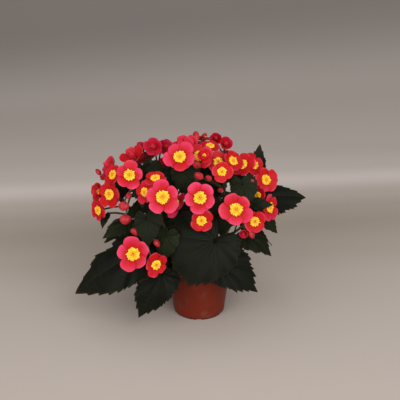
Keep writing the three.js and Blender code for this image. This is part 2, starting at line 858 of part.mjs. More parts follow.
function bladeHeight(length, x, y, share, angle) {
  const along = x / length;
  const arch = bladeArch * (along > 0 ? along * (1 - along) : -0.8 * along * along);
  const sag = -bladeSag * (y / length) ** 2;
  const wave = bladeWave * share * share * Math.sin(5 * angle + length);
  return length * (arch + sag + wave);
}

// A blade and its stalk as one skin: the stalk, the blade's lower face, its toothed edge and its upper face.
function bladeSolid(leaf, radius, stalkOf) {
  const { from, along, up, across, length } = bladeFrame(leaf);
  const teeth = length > largeLeaf ? leafTeeth : fewerTeeth;
  const half = bladeThickness / 2;
  const ring = (count, share, offset) => {
    const points = [];
    for (let i = 0; i < count; i++) {
      const angle = (2 * Math.PI * i) / count;
      const signed = angle > Math.PI ? angle - 2 * Math.PI : angle;
      const tooth = share === 1 && i > 0 ? 1 + toothDepth * (i % 2 ? 1 : -1) : 1;
      const reach = bladeReach(leaf, length, signed) * share * tooth;
      const x = reach * Math.cos(signed);
      const y = reach * Math.sin(signed);
      const height = bladeHeight(length, x, y, share, signed) + offset;
      points.push(from.clone()
        .addScaledVector(along, x)
        .addScaledVector(across, y)
        .addScaledVector(up, height));
    }
    return points;
  };
  const end = from.clone().addScaledVector(up, -half - 1.2);
  const arriving = along.clone().multiplyScalar(stalkLean[0]).addScaledVector(up, stalkLean[1]).normalize();
  const curve = stalkOf(end, arriving);
  const petiole = stalkRings(curve, radius, radius * 0.8, stalkSides, stalkSteps, along);
  const top = [from.clone().addScaledVector(up, half)];
  const solid = skin([
    ...petiole,
    ring(teeth, bladeMiddle, -half),
    ring(2 * teeth, 1, -half),
    ring(2 * teeth, 1, half),
    ring(teeth, bladeMiddle, half),
    top,
  ]);
  return { solid, curve };
}

// A leaf, with any further blades, whose stalks branch off the first blade's stalk.
function makeLeaf(leaf) {
  const stalkOf = (end, arriving) => stalkCurve(leafNode(leaf), end, arriving);
  const first = bladeSolid(leaf, petioleRadius, stalkOf);
  const more = (leaf.more ?? []).map((blade) => {
    const branch = first.curve.getPoint(branchShare);
    const way = vector(blade.from).sub(branch).normalize();
    const branchOf = (end, arriving) => stalkCurve({ end: branch, way }, end, arriving);
    return bladeSolid(blade, branchRadius, branchOf).solid;
  });
  return joined([first.solid, ...more]);
}

// The whole plant

const plant = new THREE.Group();

plant.add(makePot());
plant.add(makeSoil(stems.map(stemHole)));
stems.forEach((stem, number) => {
  plant.add(meshOf(`stem_${number + 1}`, makeStem(stem, number), { color: 0x6d6a3a, roughness: 0.5 }));
});
for (const spray of sprays) {
  plant.add(meshOf(`spray_${spray.name}`, makeSpray(spray), { color: 0xd92c4f, roughness: 0.55 }));
}
for (const leaf of leaves) {
  plant.add(meshOf(`leaf_${leaf.name}`, makeLeaf(leaf), { color: 0x22281f, roughness: 0.4 }));
}

export default plant;
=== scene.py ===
import random
from math import asin, copysign, cos, degrees, exp, pi, radians, sin, sqrt

import bpy
import numpy
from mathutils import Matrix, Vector, noise


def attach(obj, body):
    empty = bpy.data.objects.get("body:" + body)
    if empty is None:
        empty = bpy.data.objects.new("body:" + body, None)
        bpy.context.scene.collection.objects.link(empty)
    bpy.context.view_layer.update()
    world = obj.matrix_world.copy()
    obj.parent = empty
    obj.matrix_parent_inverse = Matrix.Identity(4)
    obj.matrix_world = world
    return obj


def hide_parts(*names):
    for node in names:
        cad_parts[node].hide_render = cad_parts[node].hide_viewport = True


# A potted begonia. Its plan is in millimetres, +Z up, with its front towards -Y, as in the CAD. Every mesh is
# turned into metres when its piece is made.

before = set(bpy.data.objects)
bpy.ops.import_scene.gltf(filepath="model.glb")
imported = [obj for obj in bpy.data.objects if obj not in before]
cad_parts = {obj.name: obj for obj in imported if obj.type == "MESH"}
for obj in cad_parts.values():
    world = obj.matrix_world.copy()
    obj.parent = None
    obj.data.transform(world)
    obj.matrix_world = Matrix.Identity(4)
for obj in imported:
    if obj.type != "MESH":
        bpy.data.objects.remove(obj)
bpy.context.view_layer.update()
millimetre = 0.001
upwards = Vector((0, 0, 1))
materials = {}
groups = {}

# The camera stands where the photo was taken from, and the studio is a pale sweep with soft light. The
# sweep's colour has light and shade painted into it, as stops: how far back one is, how bright it is painted
# there, and how warm.

camera = {"place": (0.0018, -1.387, 0.7846), "tilt": 22.6, "lens": 80, "sensor": 36}
sweep = {
    "near": -4.0, "bend": 0.9, "radius": 1.2, "top": 5.0, "halfWidth": 6.0, "steps": 16, "slant": 0.12,
    "tones": ((-0.1, 0.49, 0.4), (0.08, 0.472, 0.5), (0.22, 0.43, 0.8), (0.34, 0.39, 1.1),
              (0.42, 0.422, 0.8), (0.5, 0.5, 0.4), (0.6, 0.68, -0.2), (0.68, 0.58, -0.1),
              (0.84, 0.528, 0.0), (1.2, 0.415, 0.0), (1.6, 0.235, 0.0)),
    "green": 0.89, "blue": 0.83, "warmGreen": 0.03, "warmBlue": 0.09,
}
studio = {"target": (0, 0, 0.17), "colour": (1.0, 0.97, 0.94, 1), "strength": 0.48}
lights = [
    {"name": "keyLight", "place": (0.95, -1.85, 1.35), "size": 2.0, "watts": 38},
    {"name": "fillLight", "place": (-1.3, -2.0, 1.0), "size": 2.0, "watts": 29},
    {"name": "topLight", "place": (-0.1, 0.2, 2.0), "size": 1.9, "watts": 4},
]


def newObject(name, data):
    made = bpy.data.objects.new(name, data)
    bpy.context.scene.collection.objects.link(made)
    return made


def makeCamera():
    data = bpy.data.cameras.new("camera")
    data.lens = camera["lens"]
    data.sensor_width = camera["sensor"]
    viewer = newObject("camera", data)
    viewer.location = camera["place"]
    viewer.rotation_euler = (radians(90 - camera["tilt"]), 0, 0)
    bpy.context.scene.camera = viewer


def makeLights():
    for light in lights:
        data = bpy.data.lights.new(light["name"], "AREA")
        data.shape = "DISK"
        data.size = light["size"]
        data.energy = light["watts"]
        lamp = newObject(light["name"], data)
        lamp.location = light["place"]
        lamp.rotation_euler = (Vector(studio["target"]) - lamp.location).to_track_quat("-Z", "Y").to_euler()
    world = bpy.data.worlds.new("studio")
    world.use_nodes = True
    sky = world.node_tree.nodes["Background"].inputs
    sky["Color"].default_value = studio["colour"]
    sky["Strength"].default_value = studio["strength"]
    bpy.context.scene.world = world
    bpy.context.scene.view_settings.view_transform = "Standard"


# Colours are linear.

palette = {
    "pink": (0.64, 0.034, 0.108, 1), "scarlet": (0.49, 0.0035, 0.009, 1), "deep": (0.22, 0.0015, 0.006, 1),
    "paleRimAndHighlight": (0.72, 0.105, 0.15, 1), "backPink": (0.66, 0.035, 0.07, 1),
    "backScarlet": (0.52, 0.011, 0.022, 1), "budPale": (0.5, 0.022, 0.034, 1),
    "budRed": (0.36, 0.007, 0.012, 1), "yolk": (0.95, 0.43, 0.008, 1), "lemon": (1.0, 0.7, 0.05, 1),
    "amber": (0.86, 0.24, 0.008, 1), "lime": (0.4, 0.3, 0.012, 1),
    "stalkGreen": (0.036, 0.036, 0.011, 1), "stalkRed": (0.08, 0.017, 0.009, 1),
    "leafDark": (0.0029, 0.0038, 0.0016, 1), "leafFresh": (0.013, 0.018, 0.0045, 1),
    "leafVein": (0.02, 0.026, 0.009, 1), "leafMargin": (0.045, 0.03, 0.01, 1),
    "leafUnder": (0.034, 0.042, 0.022, 1), "underVein": (0.11, 0.06, 0.035, 1),
    "potRed": (0.148, 0.0172, 0.0072, 1), "potWorn": (0.26, 0.065, 0.035, 1),
    "dust": (0.2, 0.11, 0.08, 1), "paintedFootShadow": (0.022, 0.007, 0.005, 1), "peat": (0.022, 0.012, 0.008, 1),
    "peatDry": (0.075, 0.045, 0.028, 1), "perlite": (0.55, 0.52, 0.47, 1),
}


# A value in a node tree. Sums with it are written as plain sums, and each makes a node.
class Flow:
    def __init__(self, nodes, socket):
        self.nodes = nodes
        self.socket = socket

    def calc(self, operation, *others):
        return self.nodes.add("Math", dict(enumerate((self, *others))), operation=operation)

    def __add__(self, other):
        return self.calc("ADD", other)

    def __sub__(self, other):
        return self.calc("SUBTRACT", other)

    def __mul__(self, other):
        return self.calc("MULTIPLY", other)

    def __abs__(self):
        return self.calc("ABSOLUTE")

    def mapped(self, fromLow, fromHigh, toLow, toHigh, **settings):
        ends = {"From Min": fromLow, "From Max": fromHigh, "To Min": toLow, "To Max": toHigh}
        return self.nodes.add("MapRange", {"Value": self, **ends}, **settings)

    # 0 below `low`, 1 above `high` and a smooth rise between; the other way round where low is over high.
    def between(self, low, high):
        rising = low < high
        return self.mapped(min(low, high), max(low, high), float(not rising), float(rising),
                           interpolation_type="SMOOTHSTEP")

    # The middle half of a noise, spread from `low` to `high`.
    def spread(self, low, high):
        return self.mapped(0.25, 0.75, low, high)

    def bump(self, strength, distance=0.0004):
        return self.nodes.add("Bump", {"Height": self, "Strength": strength, "Distance": distance})


# A node tree. An input takes a flow, a plain value or the name of a colour of the palette.
class Nodes:
    def __init__(self, tree):
        self.tree = tree

    def give(self, value, socket):
        if isinstance(value, Flow):
            self.tree.links.new(value.socket, socket)
        else:
            socket.default_value = palette[value] if isinstance(value, str) else value

    def node(self, kind, inputs, **settings):
        made = self.tree.nodes.new("ShaderNode" + kind)
        for name, value in settings.items():
            setattr(made, name, value)
        for name, value in inputs.items():
            self.give(value, made.inputs[name])
        return made

    def add(self, kind, inputs, output=0, **settings):
        return Flow(self, self.node(kind, inputs, **settings).outputs[output])

    def parts(self, place):
        return [Flow(self, socket) for socket in self.node("SeparateXYZ", {0: place}).outputs]

    # A place on the piece's surface map: across or around it, and along it.
    def shapeMap(self):
        return self.parts(self.add("UVMap", {}, uv_map="shape"))[:2]

    def tone(self):
        return self.add("Attribute", {}, "Fac", attribute_name="tone")

    def blend(self, share, first, second, how="MIX"):
        return self.add("Mix", {0: share, 6: first, 7: second}, 2, data_type="RGBA", blend_type=how)

    def cloud(self, place, size, detail):
        return self.add("TexNoise", {"Vector": place, "Scale": size, "Detail": detail}, "Fac")

    def noise(self, size, detail=3.0, stretch=None):
        place = self.add("TexCoord", {}, "Object")
        if stretch:
            place = self.add("Mapping", {"Vector": place, "Scale": stretch})
        return self.cloud(place, size, detail)

    def group(self, name, **values):
        made = self.node("Group", values, node_tree=groups[name])
        return {socket.name: Flow(self, socket) for socket in made.outputs}

    # A colour in soft patches, and a roughness that goes with them.
    def tint(self, colour, patches, spread, smoothest, roughest):
        made = self.group("mottling", Color=colour, Patches=patches, Spread=spread)
        return made["Color"], made["Value"].spread(smoothest, roughest)

    def grain(self, size, depth):
        return self.group("grain", Size=size, Depth=depth)["Height"]


def makeGroup(name, build, inputs, outputs):
    tree = bpy.data.node_groups.new(name, "ShaderNodeTree")
    for label, value in inputs.items():
        kind = "NodeSocketColor" if isinstance(value, tuple) else "NodeSocketFloat"
        tree.interface.new_socket(label, in_out="INPUT", socket_type=kind).default_value = value
    for label in outputs:
        kind = "NodeSocketColor" if label == "Color" else "NodeSocketFloat"
        tree.interface.new_socket(label, in_out="OUTPUT", socket_type=kind)
    nodes = Nodes(tree)
    given = tree.nodes.new("NodeGroupInput").outputs
    results = build(nodes, *[Flow(nodes, given[label]) for label in inputs])
    taken = tree.nodes.new("NodeGroupOutput").inputs
    for label, value in zip(outputs, results):
        nodes.give(value, taken[label])
    groups[name] = tree


# Soft patches of lighter and darker colour over the surface.
def mottling(nodes, colour, patches, spread):
    mixed = nodes.noise(patches) * 0.7 + nodes.noise(patches * 7.0) * 0.3
    factor = (mixed - 0.5) * (spread * 4.0) + 1.0
    grey = nodes.add("CombineColor", {0: factor, 1: factor, 2: factor})
    return nodes.blend(1.0, colour, grey, "MULTIPLY"), mixed


# Fine grain for the bump of a surface.
def grain(nodes, size, depth):
    return [nodes.noise(size, 4.0) * depth]


# A petal's colours from its map: across it, out along it, and its tone from scarlet to pink.
def petalBlush(nodes, pink, scarlet, deep, rim):
    across, reach = nodes.shapeMap()
    veins = nodes.cloud(nodes.add("CombineXYZ", {0: across * 26.0, 1: reach * 2.2}), 1.0, 3.0)
    shifted = reach + (nodes.noise(70.0) - 0.5) * 0.5
    colour = nodes.blend(shifted.between(0.46, 0.84) * nodes.tone(), scarlet, pink)
    # Partly the petal's own deeper red and partly painted shade: each petal darkens towards its foot by the
    # eye.
    throat = reach.between(0.58, 0.4) * 0.42
    # Painted shade: each petal darkens along its sides, where the petals overlap.
    sides = abs(across - 0.5).between(0.36, 0.5) * 0.5
    lines = veins.between(0.5, 0.72) * 0.28
    for share in (throat, sides, lines):
        colour = nodes.blend(share, colour, deep)
    # A paler rim, partly the petal's own colour and partly a painted highlight.
    return nodes.blend(shifted.between(0.84, 1.06) * 0.42, colour, rim), veins


# A leaf's veins from its map: main veins that part at its stalk, and side veins that branch off them.
def leafVeins(nodes, mainDepth, sideDepth):
    turn, reach = nodes.shapeMap()
    turned = turn * 10.0 + (nodes.noise(60.0) - 0.5) * 0.16
    away = abs(turned - turned.calc("ROUND"))
    main = (away * (reach + 0.1) * (reach * 0.5 + 0.5)).between(0.038, 0.012)
    side = abs((reach * 8.0 - away * 4.2).calc("FRACT") - 0.5).between(0.1, 0.03)
    mask = (main * mainDepth).calc("MAXIMUM", side * sideDepth)
    return mask, mask * -1.0, reach.between(0.94, 0.995)


# A build function gives back what the shader's colour, roughness and normal take.
def makeMaterial(name, build, **uniform):
    material = bpy.data.materials.new(name)
    material.use_nodes = True
    nodes = Nodes(material.node_tree)
    sockets = material.node_tree.nodes["Principled BSDF"].inputs
    for label, value in uniform.items():
        sockets[label.replace("_", " ")].default_value = value
    for label, value in zip(("Base Color", "Roughness", "Normal"), build(nodes)):
        nodes.give(value, sockets[label])
    materials[name] = material


def petalFace(**colours):
    def build(nodes):
        blush = nodes.group("petalBlush", **colours)
        colour, rough = nodes.tint(blush["Color"], 90.0, 0.12, 0.42, 0.62)
        return colour, rough, (blush["Height"] + nodes.grain(2600.0, 0.35)).bump(0.35)
    return build


def eyeSurface(nodes):
    reach = nodes.shapeMap()[1]
    colour = nodes.blend(reach.between(0.1, 0.34), "lime", "yolk")
    colour = nodes.blend(reach.between(0.3, 0.75), colour, "lemon")
    colour = nodes.blend(nodes.noise(260.0).between(0.5, 0.7) * 0.6, colour, "yolk")
    # Painted shade: an amber ring where the eye's cushion rounds under at its rim.
    colour = nodes.blend(abs(reach - 0.76).between(0.04, 0.0) * 0.7, colour, "amber")
    colour, rough = nodes.tint(colour, 420.0, 0.3, 0.4, 0.65)
    return colour, rough, nodes.grain(1800.0, 1.0).bump(0.5)


def budSurface(nodes):
    around, reach = nodes.shapeMap()
    seam = abs(around - 0.5).between(0.08, 0.34)
    # Red along the seam, partly the bud's own colour and partly painted shade in the crease, and red towards
    # the tip.
    colour = nodes.blend(seam * reach.between(0.95, 0.3), "budRed", "budPale")
    colour, rough = nodes.tint(colour, 160.0, 0.22, 0.32, 0.5)
    return colour, rough, nodes.grain(2200.0, 0.6).bump(0.3)


def stalkSurface(redness):
    def build(nodes):
        patches = nodes.noise(38.0, 2.0, stretch=(1, 1, 0.35)).between(0.35, 0.65)
        colour = nodes.blend(patches * redness, "stalkGreen", "stalkRed")
        colour, rough = nodes.tint(colour, 220.0, 0.3, 0.34, 0.52)
        streaks = nodes.noise(900.0, 3.0, stretch=(1, 1, 0.08))
        return colour, rough, streaks.bump(0.4)
    return build


def leafFace(base, fresh, vein, strength):
    def build(nodes):
        veins = nodes.group("leafVeins", Main=1.0, Side=0.55)
        tone = nodes.tone()
        colour, rough = nodes.tint(base, 45.0, 0.7, 0.42, 0.6)
        colour = nodes.blend(tone, colour, fresh)
        colour = nodes.blend(veins["Mask"] * ((tone * 1.4 + 0.22) * strength), colour, vein)
        colour = nodes.blend(veins["Edge"] * 0.38, colour, "leafMargin")
        return colour, rough, (veins["Height"] + nodes.grain(1500.0, 0.45)).bump(0.9, 0.0006)
    return build


def potSurface(nodes):
    colour, rough = nodes.tint("potRed", 26.0, 0.12, 0.36, 0.5)
    rubbed = nodes.noise(240.0).between(0.4, 0.66)
    colour = nodes.blend(nodes.tone() * rubbed, colour, "potWorn")
    dusty = nodes.noise(60.0, 6.0).between(0.48, 0.8) * 0.22
    colour = nodes.blend(dusty, colour, "dust")
    # Painted contact shadow: the bottom few millimetres of the pot darken to a near-black brown.
    paintedContactShadow = nodes.shapeMap()[1].between(0.034, 0.014) * 0.85
    colour = nodes.blend(paintedContactShadow, colour, "paintedFootShadow")
    scratches = nodes.noise(420.0, 2.0, stretch=(1, 1, 0.05)).between(0.62, 0.72)
    rings = nodes.noise(900.0, 1.0, stretch=(0.03, 0.03, 1))
    return colour, rough + dusty, (rings * 0.5 - scratches * 0.4).bump(0.3)


def soilSurface(nodes):
    colour, rough = nodes.tint("peat", 160.0, 0.9, 0.85, 1.0)
    dry = nodes.noise(90.0, 5.0).between(0.5, 0.7) * 0.5
    fibres = nodes.noise(1100.0, 2.0, stretch=(1, 0.15, 1)).between(0.64, 0.74)
    colour = nodes.blend(dry.calc("MAXIMUM", fibres), colour, "peatDry")
    colour = nodes.blend(nodes.tone(), colour, "perlite")
    return colour, rough, nodes.grain(900.0, 1.0).bump(0.9, 0.001)


# The studio sweep, with light and shade painted into its colour: pale under the pot, painted shade where the
# table ends and again high up behind the plant.
def sweepSurface(nodes):
    sideways, back, _ = nodes.parts(nodes.add("TexCoord", {}, "Object"))
    start, end = sweep["tones"][0][0], sweep["tones"][-1][0]
    share = (back - sideways * sweep["slant"] - start).calc("DIVIDE", end - start)
    ramp = nodes.node("ValToRGB", {"Fac": share})
    ramp.color_ramp.interpolation = "EASE"
    stops = ramp.color_ramp.elements
    for i, (stop, tone, warmth) in enumerate(sweep["tones"]):
        if i > 1:
            stops.new(1.0)
        stops[i].position = (stop - start) / (end - start)
        green = sweep["green"] - sweep["warmGreen"] * warmth
        blue = sweep["blue"] - sweep["warmBlue"] * warmth
        stops[i].color = (tone, tone * green, tone * blue, 1)
    colour = Flow(nodes, ramp.outputs["Color"])
    return [nodes.group("mottling", Color=colour, Patches=2.0, Spread=0.02)["Color"]]


def makeMaterials():
    white = (1, 1, 1, 1)
    makeGroup("mottling", mottling, {"Color": white, "Patches": 60.0, "Spread": 0.3}, ["Color", "Value"])
    makeGroup("grain", grain, {"Size": 900.0, "Depth": 1.0}, ["Height"])
    makeGroup("petalBlush", petalBlush, {"Pink": white, "Scarlet": white, "Deep": white, "Rim": white},
              ["Color", "Height"])
    makeGroup("leafVeins", leafVeins, {"Main": 1.0, "Side": 0.5}, ["Mask", "Height", "Edge"])
    soft = {"Specular_IOR_Level": 0.16, "Sheen_Weight": 0.02, "Sheen_Roughness": 0.4}
    front = petalFace(Pink="pink", Scarlet="scarlet", Deep="deep", Rim="paleRimAndHighlight")
    back = petalFace(Pink="backPink", Scarlet="backScarlet", Deep="deep", Rim="backPink")
    makeMaterial("petal", front, **soft)
    makeMaterial("petalBack", back, **soft)
    makeMaterial("eye", eyeSurface, Specular_IOR_Level=0.3)
    makeMaterial("bud", budSurface, Specular_IOR_Level=0.3, Sheen_Weight=0.05)
    makeMaterial("stalk", stalkSurface(0.8), Specular_IOR_Level=0.45)
    makeMaterial("stem", stalkSurface(0.45), Specular_IOR_Level=0.45)
    makeMaterial("leafTop", leafFace("leafDark", "leafFresh", "leafVein", 0.55), Specular_IOR_Level=0.11)
    makeMaterial("leafUnder", leafFace("leafUnder", "leafUnder", "underVein", 0.9), Specular_IOR_Level=0.3)
    makeMaterial("pot", potSurface, Specular_IOR_Level=0.13)
    makeMaterial("soil", soilSurface, Specular_IOR_Level=0.15)
    makeMaterial("sweep", sweepSurface, Roughness=0.9, Specular_IOR_Level=0.1)


makeMaterials()
print("materials made")

# Mesh tools. Places are in millimetres; a mark is a point's place on its surface map and its tone.

class Shape:
    def __init__(self, *materialNames):
        self.materialNames = materialNames
        self.points = []
        self.marks = []
        self.faces = []
        self.faceMaterials = []

    def add(self, place, mark=(0.0, 0.0, 0.0)):
        self.points.append(tuple(place))
        self.marks.append(mark)
        return len(self.points) - 1

    def face(self, corners, material, flip=False):
        self.faces.append(corners[::-1] if flip else corners)
        self.faceMaterials.append(self.materialNames.index(material))

    # Faces between two rows of points. They look to the right of the way from the first row to the second.
    def band(self, first, second, material, closed=True, flip=False):
        for i in range(len(first) if closed else len(first) - 1):
            j = (i + 1) % len(first)
            self.face((first[i], first[j], second[j], second[i]), material, flip)

    def skin(self, rows, material, closed=True):
        for first, second in zip(rows, rows[1:]):
            self.band(first, second, material, closed)

    def fan(self, row, centre, material):
        for i in range(len(row)):
            self.face((row[i], row[(i + 1) % len(row)], centre), material)

    # A row of points round an axis for each entry of a profile. `point` gives a point's place and mark.
    def rings(self, profile, count, point):
        return [[self.add(*point(step, turn, *entry)) for step, turn in turns(count)] for entry in profile]

    # A skin that a point at either end closes.
    def hull(self, rows, start, end, material):
        self.skin(rows, material)
        self.fan(rows[0][::-1], self.add(*start), material)
        self.fan(rows[-1], self.add(*end), material)

    def piece(self, name, node):
        mesh = bpy.data.meshes.new(name)
        points = numpy.array(self.points) * millimetre
        mesh.from_pydata(points.tolist(), [], self.faces)
        marks = numpy.array(self.marks, dtype=numpy.float32)
        corners = numpy.empty(len(mesh.loops), dtype=numpy.int32)
        mesh.loops.foreach_get("vertex_index", corners)
        mesh.uv_layers.new(name="shape").data.foreach_set("uv", marks[corners, :2].ravel())
        mesh.attributes.new("tone", "FLOAT", "POINT").data.foreach_set("value", marks[:, 2].copy())
        for materialName in self.materialNames:
            mesh.materials.append(materials[materialName])
        mesh.polygons.foreach_set("material_index", self.faceMaterials)
        mesh.polygons.foreach_set("use_smooth", [True] * len(self.faces))
        mesh.validate()
        made = newObject(name, mesh)
        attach(made, "root")
        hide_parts(node)


def pieceName(kind, name):
    return kind + "".join(word.capitalize() for word in name.split("_"))


def smooth(value, low, high):
    share = min(max((value - low) / (high - low), 0.0), 1.0)
    return share * share * (3 - 2 * share)


# The steps round a circle, each with its number and its angle.
def turns(count):
    return [(step, 2 * pi * step / count) for step in range(count)]


def around(radius, turn, height=0.0):
    return radius * cos(turn), radius * sin(turn), height


def faceWay(face):
    turn, tilt = radians(face[0]), radians(face[1])
    return Vector((sin(turn) * cos(tilt), -cos(turn) * cos(tilt), sin(tilt)))


def frameAbout(normal):
    side = upwards.cross(normal).normalized()
    return side, normal.cross(side)


# A point of a cubic curve with four handles, at a share of its length.
def pointOn(handles, share):
    first, second, third, fourth = handles
    rest = 1 - share
    return (first * rest ** 3 + second * (3 * rest * rest * share) + third * (3 * rest * share * share)
            + fourth * share ** 3)


def curvePoints(handles, steps):
    return [pointOn(handles, step / steps) for step in range(steps + 1)]


def turnedFrames(points, axis):
    frames = []
    normal = axis.copy()
    for i, point in enumerate(points):
        tangent = (points[min(i + 1, len(points) - 1)] - points[max(i - 1, 0)]).normalized()
        normal = (normal - tangent * normal.dot(tangent)).normalized()
        frames.append((point, normal, tangent.cross(normal), tangent))
    return frames


def ring(shape, centre, side, up, radius, sides, mark, ridges=0, ridge=0.0):
    row = []
    for step, turn in turns(sides):
        x, y, _ = around(radius * (1 + ridge * cos(ridges * turn)), turn)
        row.append(shape.add(centre + side * x + up * y, (step / sides, mark, 0.0)))
    return row


# A tapered stalk along a curve, with rounded ends. Knots are the shares of its length where it swells.

tubeShape = {"axis": (0.3, 0.9, 0.1), "swell": 0.16, "knotWidth": 0.025, "cap": 0.4}


def tube(shape, handles, startRadius, endRadius, material, sides, steps, knots=()):
    frames = turnedFrames(curvePoints(handles, steps), Vector(tubeShape["axis"]))
    rows = []
    for i, (centre, side, up, _) in enumerate(frames):
        share = i / steps
        apart = [(share - knot) / tubeShape["knotWidth"] for knot in knots]
        swell = sum(tubeShape["swell"] * exp(-away ** 2) for away in apart)
        radius = (startRadius + (endRadius - startRadius) * share) * (1 + swell)
        rows.append(ring(shape, centre, side, up, radius, sides, share))
    start = frames[0][0] - frames[0][3] * startRadius * tubeShape["cap"]
    end = frames[-1][0] + frames[-1][3] * endRadius * tubeShape["cap"]
    shape.hull(rows, (start, (0, 0, 0)), (end, (0, 1, 0)), material)


# A closed thin sheet over a grid of places and marks. Its upper side looks along `upper`; its edge is sharp.
def sheet(shape, grid, thickness, upper, topMaterial, backMaterial):
    rows, columns = len(grid), len(grid[0])
    top = [[shape.add(place, mark) for place, mark in row] for row in grid]
    places = numpy.array([[tuple(place) for place, mark in row] for row in grid])
    outward = numpy.cross(numpy.gradient(places, axis=0), numpy.gradient(places, axis=1))
    outward /= numpy.maximum(numpy.linalg.norm(outward, axis=2, keepdims=True), 1e-9)
    flipped = (outward @ numpy.array(tuple(upper))).sum() < 0
    if flipped:
        outward = -outward
    under = [row[:] for row in top]
    for r in range(1, rows - 1):
        for c in range(1, columns - 1):
            under[r][c] = shape.add(places[r, c] - outward[r, c] * thickness, grid[r][c][1])
    for r in range(rows - 1):
        for c in range(columns - 1):
            upperFace = (top[r][c], top[r + 1][c], top[r + 1][c + 1], top[r][c + 1])
            underFace = (under[r][c], under[r][c + 1], under[r + 1][c + 1], under[r + 1][c])
            shape.face(upperFace, topMaterial, flipped)
            shape.face(underFace, backMaterial, flipped)


beadProfile = ((0.15, 0.6), (0.5, 1.0), (0.85, 0.7))


# A little rounded lump along a way.
def bead(shape, place, way, length, radius, material, mark, sides=5):
    side, up = frameAbout(way)
    rows = [ring(shape, place + way * (share * length), side, up, radius * width, sides, mark)
            for share, width in beadProfile]
    shape.hull(rows, (place, (0, mark, 0)), (place + way * length, (0, mark, 0)), material)


# Pot. `drilled` is the number of the band of its profile that the drain holes pierce from below,
# `drilledFloor` that of the floor, and `collar` the columns on each side of a hole's middle that go round it.

pot = {
    "height": 100, "rimRadius": 60, "rimBand": 12, "rimStep": 2.4, "footRadius": 44, "wall": 1.8,
    "floor": 2.2, "footRecess": 1.5, "footRing": 4.6, "footCorner": 1.4, "centrePad": 12,
    "drainHole": 4, "drainCircle": 27, "drainHoles": 5, "holeTaper": 0.96, "holeRubbed": 0.3,
    "notchWidth": 9, "notchHeight": 2, "notches": 6, "notchSide": 0.82, "columns": 240,
    "drilled": 3, "drilledFloor": -3, "collar": 16,
}


def potRadius(height):
    taper = pot["rimRadius"] - pot["rimStep"] - pot["footRadius"]
    return pot["footRadius"] + taper * height / pot["height"]


# Radius, height and how rubbed it is there, from the middle of the underside round to the inside.
def potProfile():
    rim, top, wall, foot = pot["rimRadius"], pot["height"], pot["wall"], pot["footRadius"]
    band = top - pot["rimBand"]
    recess, pad = pot["footRecess"], pot["centrePad"]
    inside = recess + pot["floor"]
    corner = foot - pot["footCorner"]
    ringInside = corner - pot["footRing"]
    holeInner, holeOuter = (pot["drainCircle"] + way * pot["drainHole"] for way in (-1, 1))
    return ringInside, inside, [
        (3, 0, 0.1), (pad, 0, 0.6), (pad + 1, recess, 0), (holeInner, recess, 0), (holeOuter, recess, 0),
        (ringInside - 1, recess, 0), (ringInside - 0.2, 0.3, 0.5), (ringInside + 0.4, 0, 0.9), (corner, 0, 1),
        (foot - 0.5, 0.3, 0.6), (foot - 0.05, 1, 0.2), (potRadius(2.5), 2.5, 0), (potRadius(6), 6, 0),
        (potRadius(30), 30, 0), (potRadius(60), 60, 0), (potRadius(band - 1), band - 1, 0),
        (potRadius(band), band - 0.1, 0), (rim - 1.2, band + 0.2, 0.3), (rim - 0.5, band + 0.5, 0.9),
        (rim - 0.1, band + 1.2, 0.7), (rim, band + 2.2, 0.1), (rim, top - 2.4, 0.1),
        (rim - 0.1, top - 1, 0.7), (rim - 0.6, top - 0.3, 1), (rim - 1.2, top, 1),
        (rim - 1.9, top - 0.3, 0.9), (rim - 2.2, top - 1, 0.3), (potRadius(band) - wall, band - 3.6, 0),
        (potRadius(40) - wall, 40, 0), (potRadius(6) - wall, 6.5, 0), (potRadius(3) - wall - 1, 4.6, 0),
        (potRadius(3) - wall - 3, inside, 0), (holeOuter, inside, 0), (holeInner, inside, 0), (3, inside, 0),
    ]


def makePot():
    shape = Shape("pot")
    ringInside, inside, profile = potProfile()
    columns, notches, notchHeight = pot["columns"], pot["notches"], pot["notchHeight"]
    notchHalf = asin(pot["notchWidth"] / 2 / pot["footRadius"])

    def point(column, turn, radius, height, rubbed):
        place = (turn / (2 * pi) * notches - 0.5) % 1
        apart = min(place, 1 - place) * 2 * pi / notches
        lift = height
        if radius > ringInside - 0.5 and height < notchHeight:
            notch = 1 - smooth(apart, notchHalf * pot["notchSide"], notchHalf)
            lift = max(height, notchHeight * notch)
        return around(radius, turn, lift), (column / columns, height / pot["height"], rubbed)

    rows = shape.rings(profile, columns, point)
    drilled, drilledFloor = pot["drilled"], len(rows) + pot["drilledFloor"]
    for i, (first, second) in enumerate(zip(rows, rows[1:])):
        if i not in (drilled, drilledFloor):
            shape.band(first, second, "pot")
    shape.fan(rows[0][::-1], shape.add((0, 0, 0)), "pot")
    shape.fan(rows[-1], shape.add((0, 0, inside)), "pot")
    drill(shape, rows[drilled], rows[drilled + 1], rows[drilledFloor + 1], rows[drilledFloor])
    shape.piece("potShell", "pot")


# The bands with the drain holes: each hole takes a share of the columns, and its wall joins both faces.
def drill(shape, underInner, underOuter, floorInner, floorOuter):
    columns, span = pot["columns"], pot["collar"]
    share = columns // pot["drainHoles"]
    for middle in range(0, columns, share):
        centre = Vector(around(pot["drainCircle"], 2 * pi * middle / columns))
        collar = [(middle + k) % columns for k in range(-span, span + 1)]
        beyond = [(middle + k) % columns for k in range(span, share - span + 1)]
        walls = []
        for inner, outer, flip in ((underInner, underOuter, False), (floorInner, floorOuter, True)):
            loop = [outer[k] for k in collar] + [inner[k] for k in collar[::-1]]
            height = shape.points[inner[0]][2]
            edge = []
            for corner in loop:
                way = Vector(shape.points[corner]) - centre
                way.z = 0
                place = centre + way.normalized() * pot["drainHole"] * pot["holeTaper"]
                edge.append(shape.add((place.x, place.y, height), (0, 0, pot["holeRubbed"])))
            walls.append(edge)
            shape.band(loop, edge, "pot", flip=flip)
            shape.band([inner[k] for k in beyond], [outer[k] for k in beyond], "pot", False, flip)
        shape.band(walls[0], walls[1], "pot")


# Soil: an uneven bed that drops at the pot's wall, with crumbs and a few pale bits of perlite on it.

